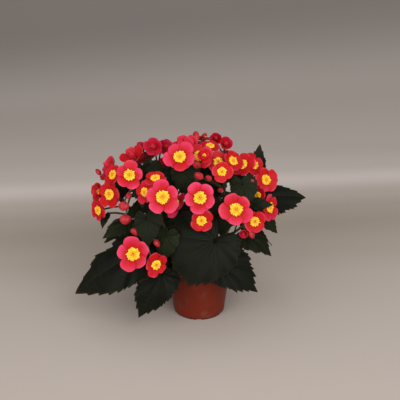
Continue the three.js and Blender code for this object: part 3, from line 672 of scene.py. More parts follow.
soil = {
    "top": 88, "relief": 1.1, "base": 4.0, "rings": 30, "columns": 96, "gap": 0.3, "edgeWidth": 5,
    "edgeDrop": 1.2, "lumps": 0.8, "coarse": 0.16, "coarseHeight": 0.8, "fine": 0.5, "fineHeight": 0.7,
    "crumbs": 520, "perlite": 26, "seed": 11, "crumbSize": (0.6, 2.0), "perliteSize": (0.9, 1.5), "sunk": 0.7,
    "crumbLength": (1.2, 2.4), "crumbWidth": (0.5, 0.8),
}


def soilHeight(x, y):
    lumps = sin(x * 0.21 + 1) * cos(y * 0.26) + 0.6 * sin(x * 0.43 - y * 0.37)
    coarse = noise.noise(Vector((x * soil["coarse"], y * soil["coarse"], 3.0)))
    fine = noise.noise(Vector((x * soil["fine"], y * soil["fine"], 7.0)))
    unevenness = lumps * soil["lumps"] + coarse * soil["coarseHeight"] + fine * soil["fineHeight"]
    return soil["top"] + soil["relief"] * unevenness


def soilRadius(height):
    return potRadius(height) - pot["wall"] - soil["gap"]


def makeSoil():
    shape = Shape("soil")
    edge = soilRadius(soil["top"] - 2)
    profile = [(edge * i / soil["rings"], None) for i in range(1, soil["rings"] + 1)]
    profile += [(soilRadius(40), 40), (soilRadius(8), 8), (soilRadius(4) - 2.7, soil["base"])]

    def point(step, turn, radius, height):
        x, y, _ = around(radius, turn)
        drop = soil["edgeDrop"] * smooth(radius, edge - soil["edgeWidth"], edge)
        return [(x, y, soilHeight(x, y) - drop if height is None else height)]

    rows = shape.rings(profile, soil["columns"], point)
    shape.skin(rows[::-1], "soil")
    shape.fan(rows[0], shape.add((0, 0, soilHeight(0, 0))), "soil")
    shape.fan(rows[-1][::-1], shape.add((0, 0, soil["base"])), "soil")
    draw = random.Random(soil["seed"])
    for i in range(soil["crumbs"]):
        reach = (edge - 3) * sqrt(draw.random())
        x, y, _ = around(reach, draw.uniform(0, 2 * pi))
        pale = i < soil["perlite"]
        size = draw.uniform(*soil["perliteSize" if pale else "crumbSize"])
        way = Vector((draw.uniform(-1, 1), draw.uniform(-1, 1), draw.uniform(0.1, 0.8))).normalized()
        place = Vector((x, y, soilHeight(x, y))) - way * size * soil["sunk"]
        before = len(shape.marks)
        bead(shape, place, way, size * draw.uniform(*soil["crumbLength"]),
             size * draw.uniform(*soil["crumbWidth"]), "soil", 0.0)
        if pale:
            shape.marks[before:] = [(0.0, 0.0, 1.0)] * (len(shape.marks) - before)
    shape.piece("soilBed", "soil")


# Stems: the azimuth of each foot about the pot, then its top.

stems = [
    {"foot": 185, "top": (-82, -12, 205)},
    {"foot": 232, "top": (-58, -62, 190)},
    {"foot": 278, "top": (-4, -42, 225)},
    {"foot": 325, "top": (52, -50, 195)},
    {"foot": 12, "top": (78, -4, 215)},
    {"foot": 68, "top": (38, 46, 205)},
    {"foot": 128, "top": (-42, 42, 215)},
]
stemShape = {
    "footCircle": 24, "footRadius": 4.4, "tipRadius": 2.6, "upright": 0.42, "bend": 0.34, "steepness": 1.2,
    "holeDepth": 16, "nodeReach": 4, "nodeLean": 28, "nodeFoot": 1.35, "nodeTip": 1.08, "seed": 40,
    "heightSteps": 400,
}
stalkShape = {
    "peduncle": 2.1, "peduncleTip": 0.85, "pedicel": 1.4, "pedicelTip": 1.1, "petiole": 1.9,
    "petioleTip": 0.8, "setOff": 0.35, "arrival": 0.3, "seat": 0.3, "branch": 1.3, "branchShare": 0.3,
    "sunk": 1.5, "parting": 0.25, "partingRise": 0.1, "forkRise": 0.4, "forkShare": 0.62, "forkDrop": 6,
    "behindBloom": 22,
}
stipuleShape = {
    "length": (4.0, 6.0), "width": 1.9, "steps": 4, "thickness": 0.25, "spread": 0.7, "lean": 0.9,
    "outward": 2.2, "aside": 1.2, "hollow": 0.4, "curl": 0.8,
}


def stemHandles(stem):
    height = soil["top"] - stemShape["holeDepth"]
    foot = Vector(around(stemShape["footCircle"], radians(stem["foot"]), height))
    top = Vector(stem["top"])
    rise = top.z - foot.z
    topWay = Vector((top.x - foot.x, top.y - foot.y, rise * stemShape["steepness"]))
    return foot, foot + Vector((0, 0, rise * stemShape["upright"])), top - topWay * stemShape["bend"], top


# The node from which a stalk sets off towards a goal: a step out from its stem at a height, or its top.
def nodeTowards(stem, height, goal):
    handles = stemHandles(stem)
    if height is None:
        return {"way": (handles[3] - handles[2]).normalized(), "end": handles[3]}
    steps = stemShape["heightSteps"]
    points = curvePoints(handles, steps)
    i = min(range(1, steps), key=lambda k: abs(points[k].z - height))
    share, place = i / steps, points[i]
    tangent = (points[i + 1] - points[i - 1]).normalized()
    radius = stemShape["footRadius"] + (stemShape["tipRadius"] - stemShape["footRadius"]) * share
    way = (goal - place).normalized()
    way = (way - tangent * way.dot(tangent)).normalized()
    lean = radians(stemShape["nodeLean"])
    way = way * cos(lean) + tangent * sin(lean)
    end = place + way * (radius + stemShape["nodeReach"])
    return {"place": place, "way": way, "end": end, "share": share}


def stalkHandles(node, end, arriving):
    start = node["end"] + node["way"] * stalkShape["seat"]
    reach = (end - start).length
    return (start, start + node["way"] * (reach * stalkShape["setOff"]),
            end - arriving * (reach * stalkShape["arrival"]), end)


def sprayNode(spray):
    places = [Vector(one["at"]) for one in (*spray["blooms"], *spray["buds"])]
    middle = sum(places, Vector()) / len(places)
    return nodeTowards(stems[spray["stem"]], spray["height"], middle)


def leafNode(leaf):
    return nodeTowards(stems[leaf["stem"]], leaf["height"], Vector(leaf["from"]))


# A pair of small papery scales at the foot of a leaf's stalk.
def stipules(shape, node, draw):
    side = node["way"].cross(upwards).normalized()
    lean, width, steps = stipuleShape["lean"], stipuleShape["width"], stipuleShape["steps"]
    for hand in (-1, 1):
        length = draw.uniform(*stipuleShape["length"])
        along = (node["way"] * lean + upwards * lean + side * (hand * stipuleShape["spread"])).normalized()
        across = along.cross(side * hand).normalized()
        out = across.cross(along)
        foot = node["place"] + node["way"] * stipuleShape["outward"] + side * (hand * stipuleShape["aside"])
        grid = []
        for r in range(steps + 1):
            reach = 0.02 + 0.98 * r / steps
            breadth = width * sin(pi * min(reach * 0.75 + 0.2, 1)) * (1 - 0.75 * reach)
            row = []
            for c in range(-2, 3):
                lift = stipuleShape["hollow"] * abs(c) + stipuleShape["curl"] * reach * reach
                place = foot + along * (reach * length) + across * (breadth * c / 2) + out * lift
                row.append((place, (0.5 + c / 8, reach, 0.0)))
            grid.append(row)
        sheet(shape, grid, stipuleShape["thickness"], out, "stalk", "stalk")


def makeStem(stem, number):
    shape = Shape("stem", "stalk")
    draw = random.Random(stemShape["seed"] + number)
    leafNodes = [leafNode(leaf) for leaf in leaves if leaf["stem"] == number]
    sprayNodes = [sprayNode(spray) for spray in sprays if spray["stem"] == number and spray["height"]]
    knots = [node["share"] for node in leafNodes + sprayNodes]
    tube(shape, stemHandles(stem), stemShape["footRadius"], stemShape["tipRadius"], "stem", sides=14,
         steps=40, knots=knots)
    for nodes, radius in ((leafNodes, stalkShape["petiole"]), (sprayNodes, stalkShape["peduncle"])):
        for node in nodes:
            middle = node["place"].lerp(node["end"], 0.5)
            tube(shape, (node["place"], middle, middle, node["end"]), radius * stemShape["nodeFoot"],
                 radius * stemShape["nodeTip"], "stem", sides=10, steps=5)
    for node in leafNodes:
        stipules(shape, node, draw)
    shape.piece(f"stemGrown{number + 1}", f"stem_{number + 1}")


# Flower sprays. Each sets off from a stem at a height, or goes on from the stem's top, and forks. A bloom has
# its eye at a place, a size, and the azimuth and elevation that it faces, 0 to the front and positive to the
# right. `cup` closes its petals towards a bud, in degrees, and `pink` is how far it is pink, not scarlet.

def bloomAt(at, size, face, **traits):
    return {"at": at, "size": size, "face": face, **traits}


def budAt(at, size):
    return {"at": at, "size": size}


def sprayFrom(name, stem, height, blooms, buds=(), fork=None):
    return {"name": name, "stem": stem, "height": height, "blooms": blooms, "buds": buds, "fork": fork}


sprays = [
    sprayFrom("left_outer", 0, 180, [
        bloomAt((-145, -47, 237), 48, (-34, 16)),
        bloomAt((-167, -24, 199), 40, (-48, 6)),
        bloomAt((-168, 2, 222), 37, (-50, 12), cup=20),
        bloomAt((-156, 12, 242), 26, (-60, 45), cup=45),
    ], [budAt((-170, 20, 250), 9)]),
    sprayFrom("left_upper", 0, None, [
        bloomAt((-110, -73, 280), 48, (8, 35), pink=0.7),
        bloomAt((-138, -48, 271), 38, (-50, 30)),
        bloomAt((-143, -2, 265), 46, (-75, 35), cup=32),
    ], [budAt((-119, -89, 234), 15), budAt((-112, -72, 245), 9), budAt((-117, -91, 212), 16)]),
    sprayFrom("left_centre", 1, None, [
        bloomAt((-56, -115, 260), 56, (0, 25), pink=0.85),
        bloomAt((-84, -92, 259), 40, (-45, 15), pink=0.2),
        bloomAt((-39, -90, 238), 46, (48, -12), pink=0.75),
        bloomAt((-68, -88, 280), 36, (-10, 70)),
    ]),
    sprayFrom("left_top", 6, None, [
        bloomAt((-107, 0, 281), 50, (-40, 55), cup=30, pink=0.2),
        bloomAt((-96, 32, 286), 32, (-30, 50), cup=44),
        bloomAt((-75, 12, 296), 42, (-5, 30), cup=36),
        bloomAt((-60, 36, 286), 38, (40, 35), cup=30),
    ]),
    sprayFrom("top_centre", 2, None, [
        bloomAt((-30, -70, 310), 52, (-2, 35), pink=0.75),
        bloomAt((-21, -22, 309), 48, (5, 50), cup=20, pink=0.6),
        bloomAt((0, -44, 301), 48, (5, 45), pink=0.35),
        bloomAt((8, -78, 315), 26, (10, 35), cup=20),
        bloomAt((18, -14, 308), 34, (25, 75)),
        bloomAt((8, 14, 312), 30, (170, 65)),
    ], [budAt((-5, 4, 319), 12), budAt((-3, -88, 303), 12)]),
    sprayFrom("top_right", 3, None, [
        bloomAt((31, -43, 291), 42, (0, 38)),
        bloomAt((54, -46, 294), 38, (45, 40)),
        bloomAt((36, -83, 290), 35, (5, 20)),
    ], [budAt((0, -102, 290), 13), budAt((15, -93, 283), 10), budAt((34, -82, 258), 9)]),
    sprayFrom("right_top", 4, None, [
        bloomAt((71, -30, 282), 46, (-30, 45)),
        bloomAt((90, -10, 274), 44, (45, 40)),
        bloomAt((43, 13, 300), 34, (15, 40), cup=42),
        bloomAt((29, 34, 302), 32, (-5, 40), cup=42),
    ]),
    sprayFrom("right_outer", 4, 186, [
        bloomAt((109, -32, 256), 46, (34, 25), pink=0.3),
        bloomAt((96, -52, 236), 32, (-50, 25)),
    ], [budAt((126, -8, 244), 9), budAt((86, -56, 260), 14)]),
    sprayFrom("right_low", 3, 160, [
        bloomAt((114, -60, 219), 46, (52, 12), pink=0.45),
    ]),
    sprayFrom("front_centre", 2, 214, [
        bloomAt((2, -118, 260), 52, (0, 25), pink=0.9),
        bloomAt((4, -116, 221), 38, (2, 8)),
    ], fork=(2, -98, 232)),
    sprayFrom("front_right", 3, 186, [
        bloomAt((58, -112, 238), 54, (4, 20), pink=0.85),
        bloomAt((88, -102, 213), 38, (18, 12)),
        bloomAt((72, -96, 191), 22, (-10, 0), cup=45),
    ], [budAt((84, -98, 190), 11)], fork=(68, -84, 214)),
    sprayFrom("low_left", 1, 178, [
        bloomAt((-103, -130, 169), 56, (-8, 20), pink=0.95),
        bloomAt((-68, -128, 150), 42, (28, 2)),
    ], [budAt((-100, -115, 201), 13), budAt((-67, -112, 180), 10)], fork=(-84, -98, 184)),
    sprayFrom("back_left", 6, 180, [
        bloomAt((-92, 82, 254), 46, (-140, 35), pink=0.6),
        bloomAt((-62, 112, 226), 42, (-162, 12)),
        bloomAt((-122, 56, 226), 38, (-118, 15)),
    ], [budAt((-96, 100, 212), 12)]),
    sprayFrom("back_top", 6, 200, [
        bloomAt((-36, 64, 284), 38, (-170, 60)),
        bloomAt((-12, 96, 268), 48, (176, 35), pink=0.7),
    ], [budAt((8, 66, 296), 12)]),
    sprayFrom("back_right", 5, None, [
        bloomAt((56, 84, 252), 44, (146, 34), pink=0.6),
        bloomAt((36, 118, 232), 42, (172, 12)),
        bloomAt((32, 56, 292), 36, (150, 65)),
    ], [budAt((84, 88, 238), 12)]),
    sprayFrom("right_back", 5, 188, [
        bloomAt((110, 58, 233), 42, (98, 28)),
        bloomAt((104, 74, 204), 38, (124, 6)),
    ], [budAt((130, 78, 214), 11)]),
]

# A large or a small flower's parts: how many petals, half the width of each as a share of its sector, and the
# size of the eye as a share of the flower's.

flowerShape = {
    "large": 39, "largeParts": (5, 0.66, 0.38), "smallParts": (4, 0.72, 0.42), "seed": 100,
    "spin": (0.7, 0.3), "openCup": 8, "halfOpenCup": 20, "foldedCup": 28, "mostOpen": (-9, 15),
    "closing": (0.25, 2.1, 104),
    "plainPink": 0.08, "foldedPink": 0.85, "foldedShade": 0.56, "calyxDepth": 3.4,
    "pinkChange": (-0.55, 0.12), "first": 0.46, "reach": 1.045, "shorter": 0.06, "lengths": (0.96, 1.02),
    "widths": (0.95, 1.05), "turned": (-0.1, 0.1), "leans": (-2.5, 2.5),
    "backFirst": 0.96, "backTurned": (-0.12, 0.12), "backWidth": 0.56, "backLengths": (0.76, 0.86),
    "backOpening": (-4, -5), "backBehind": -1.7, "backPink": 0.45,
    "innerPetals": 3, "innerFirst": 0.2, "innerWidth": 1.2, "innerLift": (0.6, 0.4),
    "closedInner": 0.84, "halfOpenInner": 0.72, "closedFold": (26, 158), "halfOpenFold": (12, 14),
}
petalShape = {
    "rows": 10, "columns": 17, "thickness": 0.45, "foot": 0.12, "round": (2.8, 2.3), "leastRim": 0.2,
    "uneven": 0.012, "step": 1.3, "hollow": 0.05, "waves": (0.022, 0.012), "rolled": 0.07, "crease": 0.03,
    "creaseWidth": 0.2, "leastBend": 0.02,
}
eyeShape = {
    "height": 4.5, "fullRadius": 22, "halfOpen": (0.3, 3.0), "lobes": 13, "each": 5, "wavesOut": 0.07,
    "wavesUp": 0.06, "stamens": 48, "many": 7, "goldenTurn": 2.39996, "turned": (-0.25, 0.25),
    "reach": (0.84, 0.95), "sizes": (0.08, 0.12), "lengths": (2.6, 3.8), "tips": (0.8, 1.0),
    "profile": ((0.14, 0.42), (0.34, 0.62), (0.56, 0.7), (0.76, 0.62), (0.92, 0.42), (0.97, 0.2),
                (0.84, 0.02), (0.55, -0.1)),
}
seatShape = {
    "profile": ((0.0, 1.5), (0.25, 2.4), (0.5, 3.1), (0.75, 3.0), (1.05, 2.0)), "sides": 12, "ridges": 3,
    "ridge": 0.22, "flowerRadius": 24,
}
budShape = {
    "sides": 18, "broad": 14, "short": 1.02, "long": 1.4, "broadSides": (1.18, 0.84), "longSides": (1.0, 0.9),
    "seamTurn": (1.0, 2.0), "seamDepth": 0.11, "seamWidth": 0.28, "middle": 0.45, "droop": 0.8, "rises": 0.35,
    "profile": ((0.0, 0.24), (0.05, 0.5), (0.14, 0.78), (0.27, 0.95), (0.42, 1.0), (0.57, 0.97),
                (0.7, 0.86), (0.82, 0.68), (0.92, 0.43), (0.975, 0.22)),
}


# One petal. `middle` is its turn about the flower, `width` its half width there, `opening` the angles from
# the flower's plane at which its foot and its tip leave, `lift` how far it lies before the others and `shade`
# how far out its dark throat, partly painted shade, ends early.
def addPetal(shape, flower, middle, width, length, opening, lift, tone, phase, shade=0.0):
    start, end = (radians(angle) for angle in opening)
    least = petalShape["leastBend"]
    bend = end - start if abs(end - start) > least else least
    arc = length * (bend / 2) / sin(bend / 2)
    rows, columns, foot = petalShape["rows"], petalShape["columns"], petalShape["foot"]
    power, root = petalShape["round"]
    broadWave, fineWave = petalShape["waves"]
    grid = []
    for r in range(rows):
        out = foot + (1 - foot) * sin(pi / 2 * r / (rows - 1))
        row = []
        for c in range(columns):
            u = sin(pi / 2 * (2 * c / (columns - 1) - 1))
            rim = max((1 - abs(u) ** power) ** (1 / root), petalShape["leastRim"])
            reach = out * (rim * (1 + petalShape["uneven"] * sin(9 * u + phase * 5)))
            angle = start + bend * reach
            radial = arc * (sin(angle) - sin(start)) / bend
            waves = broadWave * sin(3.6 * u + phase) + fineWave * sin(8 * u - phase)
            crease = petalShape["crease"] * exp(-(u / petalShape["creaseWidth"]) ** 2) * reach
            height = arc * (cos(start) - cos(angle)) / bend
            height += petalShape["step"] * u * smooth(reach, 0.1, 0.75)
            height += length * (waves * reach * reach - petalShape["hollow"] * u * u * reach
                                - petalShape["rolled"] * smooth(reach, 0.72, 1.02) ** 2 - crease)
            place = flower["place"](middle + u * width, radial, height + lift)
            row.append((place, (0.5 + 0.5 * u, max(reach, shade), tone)))
        grid.append(row)
    sheet(shape, grid, petalShape["thickness"], flower["normal"], "petal", "petalBack")


# The yellow eye: a low cushion with an uneven, scalloped rim, crowded with blunt stamens that grow longer
# outwards and leave a small green pit.
def addEye(shape, flower, radius, height, draw):
    lobes = eyeShape["lobes"]
    columns = lobes * eyeShape["each"]
    phase = draw.uniform(0, 6)

    def point(column, turn, reach, rise):
        wave = sin(lobes * turn + phase + 1.7 * sin(2 * turn + phase))
        wave += 0.6 * sin(3 * turn - phase) + 0.5 * sin(5 * turn + 2 * phase)
        out = radius * reach * (1 + eyeShape["wavesOut"] * wave * smooth(reach, 0.3, 0.95))
        up = height * (rise + eyeShape["wavesUp"] * wave * smooth(reach, 0.2, 0.6))
        return flower["place"](turn, out, up), (column / columns, reach * 0.8, 0.0)

    rows = shape.rings(eyeShape["profile"], columns, point)
    shape.skin(rows[::-1], "eye")
    shape.fan(rows[0], shape.add(flower["place"](0, 0, height * 0.3)), "eye")
    stamens = eyeShape["stamens"] if radius > eyeShape["many"] else eyeShape["stamens"] * 2 // 3
    for k in range(stamens):
        share = sqrt((k + 1.2) / (stamens + 1))
        turn = eyeShape["goldenTurn"] * k + draw.uniform(*eyeShape["turned"])
        reach = radius * share * draw.uniform(*eyeShape["reach"])
        rise = height * (0.72 - 0.42 * share ** 3)
        base = flower["place"](turn, reach, rise)
        outer = flower["place"](turn, reach + 1, rise)
        way = ((outer - base) * (0.1 + 0.55 * share * share) + flower["normal"] * 0.75).normalized()
        size = radius * draw.uniform(*eyeShape["sizes"]) * (0.8 + 0.4 * share)
        length = size * draw.uniform(*eyeShape["lengths"])
        mark = 0.3 + 0.62 * share * draw.uniform(*eyeShape["tips"])
        bead(shape, base - way * size, way, length, size, "eye", mark, sides=6)


# The swollen green-red seat of a flower, with three soft ridges, where its stalklet meets it.
def addSeat(shape, flower, radius):
    side, up = frameAbout(flower["normal"])
    rows = []
    for share, width in seatShape["profile"]:
        centre = flower["place"](0, 0, -flowerShape["calyxDepth"] * (1 - share) - 0.2)
        rows.append(ring(shape, centre, side, up, width * radius / seatShape["flowerRadius"],
                         seatShape["sides"], share, seatShape["ridges"], seatShape["ridge"]))
    shape.skin(rows, "stalk")
    shape.fan(rows[-1], shape.add(flower["place"](0, 0, 0.2)), "stalk")


def addFlower(shape, bloom, stalklet, draw):
    normal = faceWay(bloom["face"])
    side, up = frameAbout(normal)
    middle = Vector(bloom["at"])
    radius = bloom["size"] / 2
    large = bloom["size"] > flowerShape["large"]
    petals, halfWidth, eyeShare = flowerShape["largeParts" if large else "smallParts"]
    cup = bloom.get("cup", flowerShape["openCup"])
    isOpen, closed = cup < flowerShape["halfOpenCup"], cup > flowerShape["foldedCup"]
    spinAcross, spinUp = flowerShape["spin"]
    spin = bloom["at"][0] * spinAcross + bloom["at"][2] * spinUp

    def place(turn, reach, height):
        x, y, z = around(reach, spin + turn, height)
        return middle + side * x + up * y + normal * z

    def drawn(limits):
        return draw.uniform(*flowerShape[limits])

    flower = {"place": place, "normal": normal}
    sector = 2 * pi / petals
    tone = bloom.get("pink", flowerShape["foldedPink" if closed else "plainPink"])
    shade = flowerShape["foldedShade"] if closed else 0.0
    if isOpen:
        opening = [cup + more for more in flowerShape["mostOpen"]]
    else:
        footShare, tipShare, most = flowerShape["closing"]
        opening = [cup * footShare, min(cup * tipShare, most)]
    for i in range(petals):
        shorter = flowerShape["reach"] - flowerShape["shorter"] * ((2 * i) % 3)
        length = radius * shorter * drawn("lengths")
        petalTone = min(max(tone + drawn("pinkChange"), 0.0), 1.0)
        lean = drawn("leans")
        turn = (i + flowerShape["first"]) * sector + drawn("turned")
        width = halfWidth * sector * drawn("widths")
        addPetal(shape, flower, turn, width, length, [angle + lean for angle in opening], 0.0, petalTone,
                 draw.uniform(0, 6), shade)
    if isOpen:
        for i in range(petals - 1):
            turn = (i + flowerShape["backFirst"]) * sector + drawn("backTurned")
            length = radius * drawn("backLengths")
            behind = [angle + more for angle, more in zip(opening, flowerShape["backOpening"])]
            addPetal(shape, flower, turn, flowerShape["backWidth"] * sector, length, behind,
                     flowerShape["backBehind"], tone * flowerShape["backPink"], draw.uniform(0, 6))
        height = eyeShape["height"] * min(radius / eyeShape["fullRadius"], 1)
        addEye(shape, flower, radius * eyeShare, height, draw)
    else:
        foot, tip = flowerShape["closedFold" if closed else "halfOpenFold"]
        folded = (opening[0] + foot, tip if closed else opening[1] + tip)
        length = radius * flowerShape["closedInner" if closed else "halfOpenInner"]
        lift, liftEach = flowerShape["innerLift"]
        for i in range(flowerShape["innerPetals"]):
            turn = (i + flowerShape["innerFirst"]) * 2 * pi / flowerShape["innerPetals"]
            addPetal(shape, flower, turn, flowerShape["innerWidth"], length, folded, lift + liftEach * i,
                     tone, draw.uniform(0, 6), shade)
        if not closed:
            eyeSize, height = eyeShape["halfOpen"]
            addEye(shape, flower, radius * eyeSize, height, draw)
    addSeat(shape, flower, radius)
    stalklet(place(0, 0, -flowerShape["calyxDepth"]), normal)


# A closed bud: a flattened drop with a seam where its two outer petals meet. Broad buds are flatter.
def addBud(shape, bud, way, stalklet, draw):
    side, up = frameAbout(way)
    broad = bud["size"] > budShape["broad"]
    length = bud["size"] * budShape["short" if broad else "long"]
    start = Vector(bud["at"]) - way * (length * budShape["middle"])
    spin = draw.uniform(*budShape["seamTurn"])

    def point(step, turn, share, width):
        wide, flat = budShape["broadSides" if broad else "longSides"] if share > 0.05 else (1.0, 1.0)
        seam = exp(-(sin(turn) / budShape["seamWidth"]) ** 2)
        dent = 1 - budShape["seamDepth"] * seam * smooth(share, 0.1, 0.5)
        x, y, _ = around(bud["size"] / 2 * width * dent, turn + spin)
        place = start + way * (share * length) + side * (wide * x) + up * (flat * y)
        return place, (0.5 + 0.5 * sin(turn), share, 0.0)

    rows = shape.rings(budShape["profile"], budShape["sides"], point)
    shape.hull(rows, (start, (0.5, 0, 0)), (start + way * length, (0.5, 1, 0)), "bud")
    stalklet(start, way)


def sprayFork(spray, node):
    if spray["fork"]:
        return Vector(spray["fork"])
    behind = stalkShape["behindBloom"]
    backs = [Vector(bloom["at"]) - faceWay(bloom["face"]) * behind for bloom in spray["blooms"]]
    middle = sum(backs, Vector()) / len(backs)
    return node["end"].lerp(middle, stalkShape["forkShare"]) - upwards * stalkShape["forkDrop"]


def makeSpray(spray, number):
    shape = Shape("petal", "petalBack", "eye", "stalk", "bud")
    draw = random.Random(flowerShape["seed"] + number)
    node = sprayNode(spray)
    fork = sprayFork(spray, node)
    thick, thin = stalkShape["peduncle"], stalkShape["pedicel"]
    rising = ((fork - node["end"]).normalized() + upwards * stalkShape["forkRise"]).normalized()
    tube(shape, stalkHandles(node, fork, rising), thick, thick * stalkShape["peduncleTip"], "stalk",
         sides=12, steps=16)

    def stalklet(end, way):
        length = (end - fork).length
        parting = fork.lerp(end, stalkShape["parting"]) + rising * (length * stalkShape["partingRise"])
        start, arriving = fork - rising * stalkShape["sunk"], end - way * (length * stalkShape["setOff"])
        tube(shape, (start, parting, arriving, end), thin * stalkShape["pedicelTip"], thin, "stalk",
             sides=9, steps=10)

    for bloom in spray["blooms"]:
        addFlower(shape, bloom, stalklet, draw)
    for bud in spray["buds"]:
        way = (Vector(bud["at"]) - fork).normalized()
        droop = budShape["droop"] if way.z < budShape["rises"] else 0.0
        addBud(shape, bud, (way - upwards * droop).normalized(), stalklet, draw)
    shape.piece(pieceName("spray", spray["name"]), "spray_" + spray["name"])


# Leaves, each from a stem at a height. The veins part at `start`, the blade points to `tip`, `up` leans its
# upper face, and `breadth` is its half width over its length. `skew` widens one side and `taper` narrows the
# lobes by the stalk. `more` has the further blades whose stalks branch off the leaf's own.

def bladeFrom(start, tip, up, breadth, **traits):
    return {"from": start, "tip": tip, "up": up, "breadth": breadth, **traits}


def leafFrom(name, stem, height, *form, **traits):
    return {"name": name, "stem": stem, "height": height, **bladeFrom(*form, **traits)}


leaves = [
    leafFrom("low_left", 1, 122, (-92, -78, 150), (-200, -58, 63), (-0.1, -0.6, 0.8), 0.33, skew=0.04),
    leafFrom("low_front", 1, 112, (-60, -96, 116), (-98, -96, 40), (-0.1, -0.95, 0.25), 0.38, skew=0),
    leafFrom("front_large", 2, 140, (27, -107, 182), (-14, -122, 113), (0.05, -0.75, 0.6), 0.84,
             skew=-0.24, taper=0.72),
    leafFrom("front_low", 3, 113, (30, -80, 127), (93, -82, 80), (0.1, -0.75, 0.65), 0.52, skew=0.25),
    leafFrom("right_small", 3, 117, (80, -24, 153), (122, -28, 119), (0.2, -0.55, 0.8), 0.5, more=[
        bladeFrom((35, -67, 226), (38, -75, 175), (0, -0.9, 0.4), 0.5),
        bladeFrom((89, -78, 232), (117, -77, 231), (0.1, -0.9, 0.4), 0.36)]),
    leafFrom("right_low", 4, 127, (76, 28, 181), (96, -5, 147), (0.1, -0.8, 0.6), 0.5),
    leafFrom("right_outer", 4, 165, (104, 3, 209), (178, 16, 206), (0.05, -0.55, 0.83), 0.41, skew=-0.27),
    leafFrom("right_hanging", 4, 185, (106, -20, 180), (132, -20, 156), (0.55, -0.75, 0.35), 0.4, skew=0.3),
    leafFrom("right_upright", 5, 195, (97, 27, 250), (103, 34, 291), (0, -1, 0.15), 0.42),
    leafFrom("left_centre", 1, 160, (-83, -112, 222), (-80, -126, 182), (0, -0.9, 0.4), 0.5),
    leafFrom("front_dark", 2, 160, (-37, -52, 210), (-35, -64, 166), (0, -0.9, 0.4), 0.46),
    leafFrom("front_under", 1, 134, (-70, -37, 182), (-74, -52, 128), (0, -0.9, 0.4), 0.52),
    leafFrom("left_mid", 0, 170, (-116, -48, 188), (-156, -60, 166), (-0.2, -0.5, 0.85), 0.38),
    leafFrom("left_hanging", 0, 176, (-158, -10, 184), (-163, -20, 165), (-0.5, -0.8, 0.3), 0.38),
    leafFrom("left_low", 0, 120, (-112, -13, 165), (-160, -22, 141), (-0.2, -0.2, 0.95), 0.4),
    leafFrom("rim_front", 2, 114, (-34, -70, 140), (-44, -88, 107), (0, -0.95, 0.3), 0.56, more=[
        bladeFrom((-52, -99, 186), (-56, -105, 146), (-0.1, -0.9, 0.4), 0.48)]),
    leafFrom("crown_front", 2, 204, (-10, -71, 256), (-8, -83, 226), (0, -0.8, 0.6), 0.55, more=[
        bladeFrom((-27, -66, 284), (-21, -73, 244), (0, -0.8, 0.6), 0.5)]),
    leafFrom("crown_left", 0, 194, (-89, -43, 219), (-117, -66, 200), (-0.3, -0.4, 0.85), 0.5, more=[
        bladeFrom((-135, -6, 244), (-131, -13, 211), (0, -0.8, 0.6), 0.6)]),
    leafFrom("crown_right", 3, 190, (69, -66, 262), (71, -82, 228), (0, -0.8, 0.6), 0.6, more=[
        bladeFrom((50, -30, 270), (75, -43, 250), (0.1, -0.8, 0.6), 0.55)]),
    leafFrom("crown_mid_left", 6, 205, (-58, -36, 272), (-60, -58, 224), (0, -0.8, 0.6), 0.6),
    leafFrom("mid_left", 0, 188, (-92, 8, 232), (-132, 18, 238), (-0.1, -0.2, 0.97), 0.5),
    leafFrom("mid_back_left", 6, 152, (-84, 38, 200), (-128, 52, 192), (-0.3, 0.3, 0.9), 0.5),
    leafFrom("mid_back", 5, 182, (10, 70, 206), (8, 118, 198), (0, 0.2, 0.97), 0.5),
    leafFrom("mid_back_right", 4, 192, (86, 34, 198), (126, 50, 186), (0.2, 0.2, 0.95), 0.5),
    leafFrom("crown_mid", 0, 178, (-88, -57, 258), (-90, -83, 230), (0, -0.8, 0.6), 0.58, more=[
        bladeFrom((-92, -18, 272), (-86, -25, 244), (0, -0.8, 0.6), 0.55)]),
    leafFrom("mid_front", 3, 184, (21, -16, 266), (27, -25, 218), (0, -0.8, 0.6), 0.55),
    leafFrom("crown_back", 5, 190, (-2, 22, 252), (-6, 62, 262), (0, -0.2, 0.98), 0.5),
    leafFrom("back_left", 6, 130, (-90, 58, 160), (-166, 84, 112), (-0.3, 0.4, 0.85), 0.38),
    leafFrom("back_low", 6, 112, (-40, 84, 134), (-80, 146, 84), (-0.2, 0.6, 0.8), 0.4),
    leafFrom("back_centre", 5, 126, (2, 78, 168), (8, 152, 118), (0, 0.6, 0.8), 0.44),
    leafFrom("back_right", 5, 112, (52, 66, 146), (104, 128, 102), (0.3, 0.5, 0.8), 0.4),
    leafFrom("right_back", 4, 112, (84, 32, 140), (128, 50, 98), (0.3, 0.2, 0.9), 0.34),
    leafFrom("left_back", 0, 118, (-104, 22, 146), (-166, 30, 120), (-0.3, 0.1, 0.9), 0.34),
    leafFrom("back_upper", 5, 160, (60, 78, 180), (90, 134, 158), (0.3, 0.5, 0.8), 0.42),
    leafFrom("back_upper_left", 6, 160, (-66, 72, 186), (-96, 132, 164), (-0.3, 0.5, 0.8), 0.42),
]

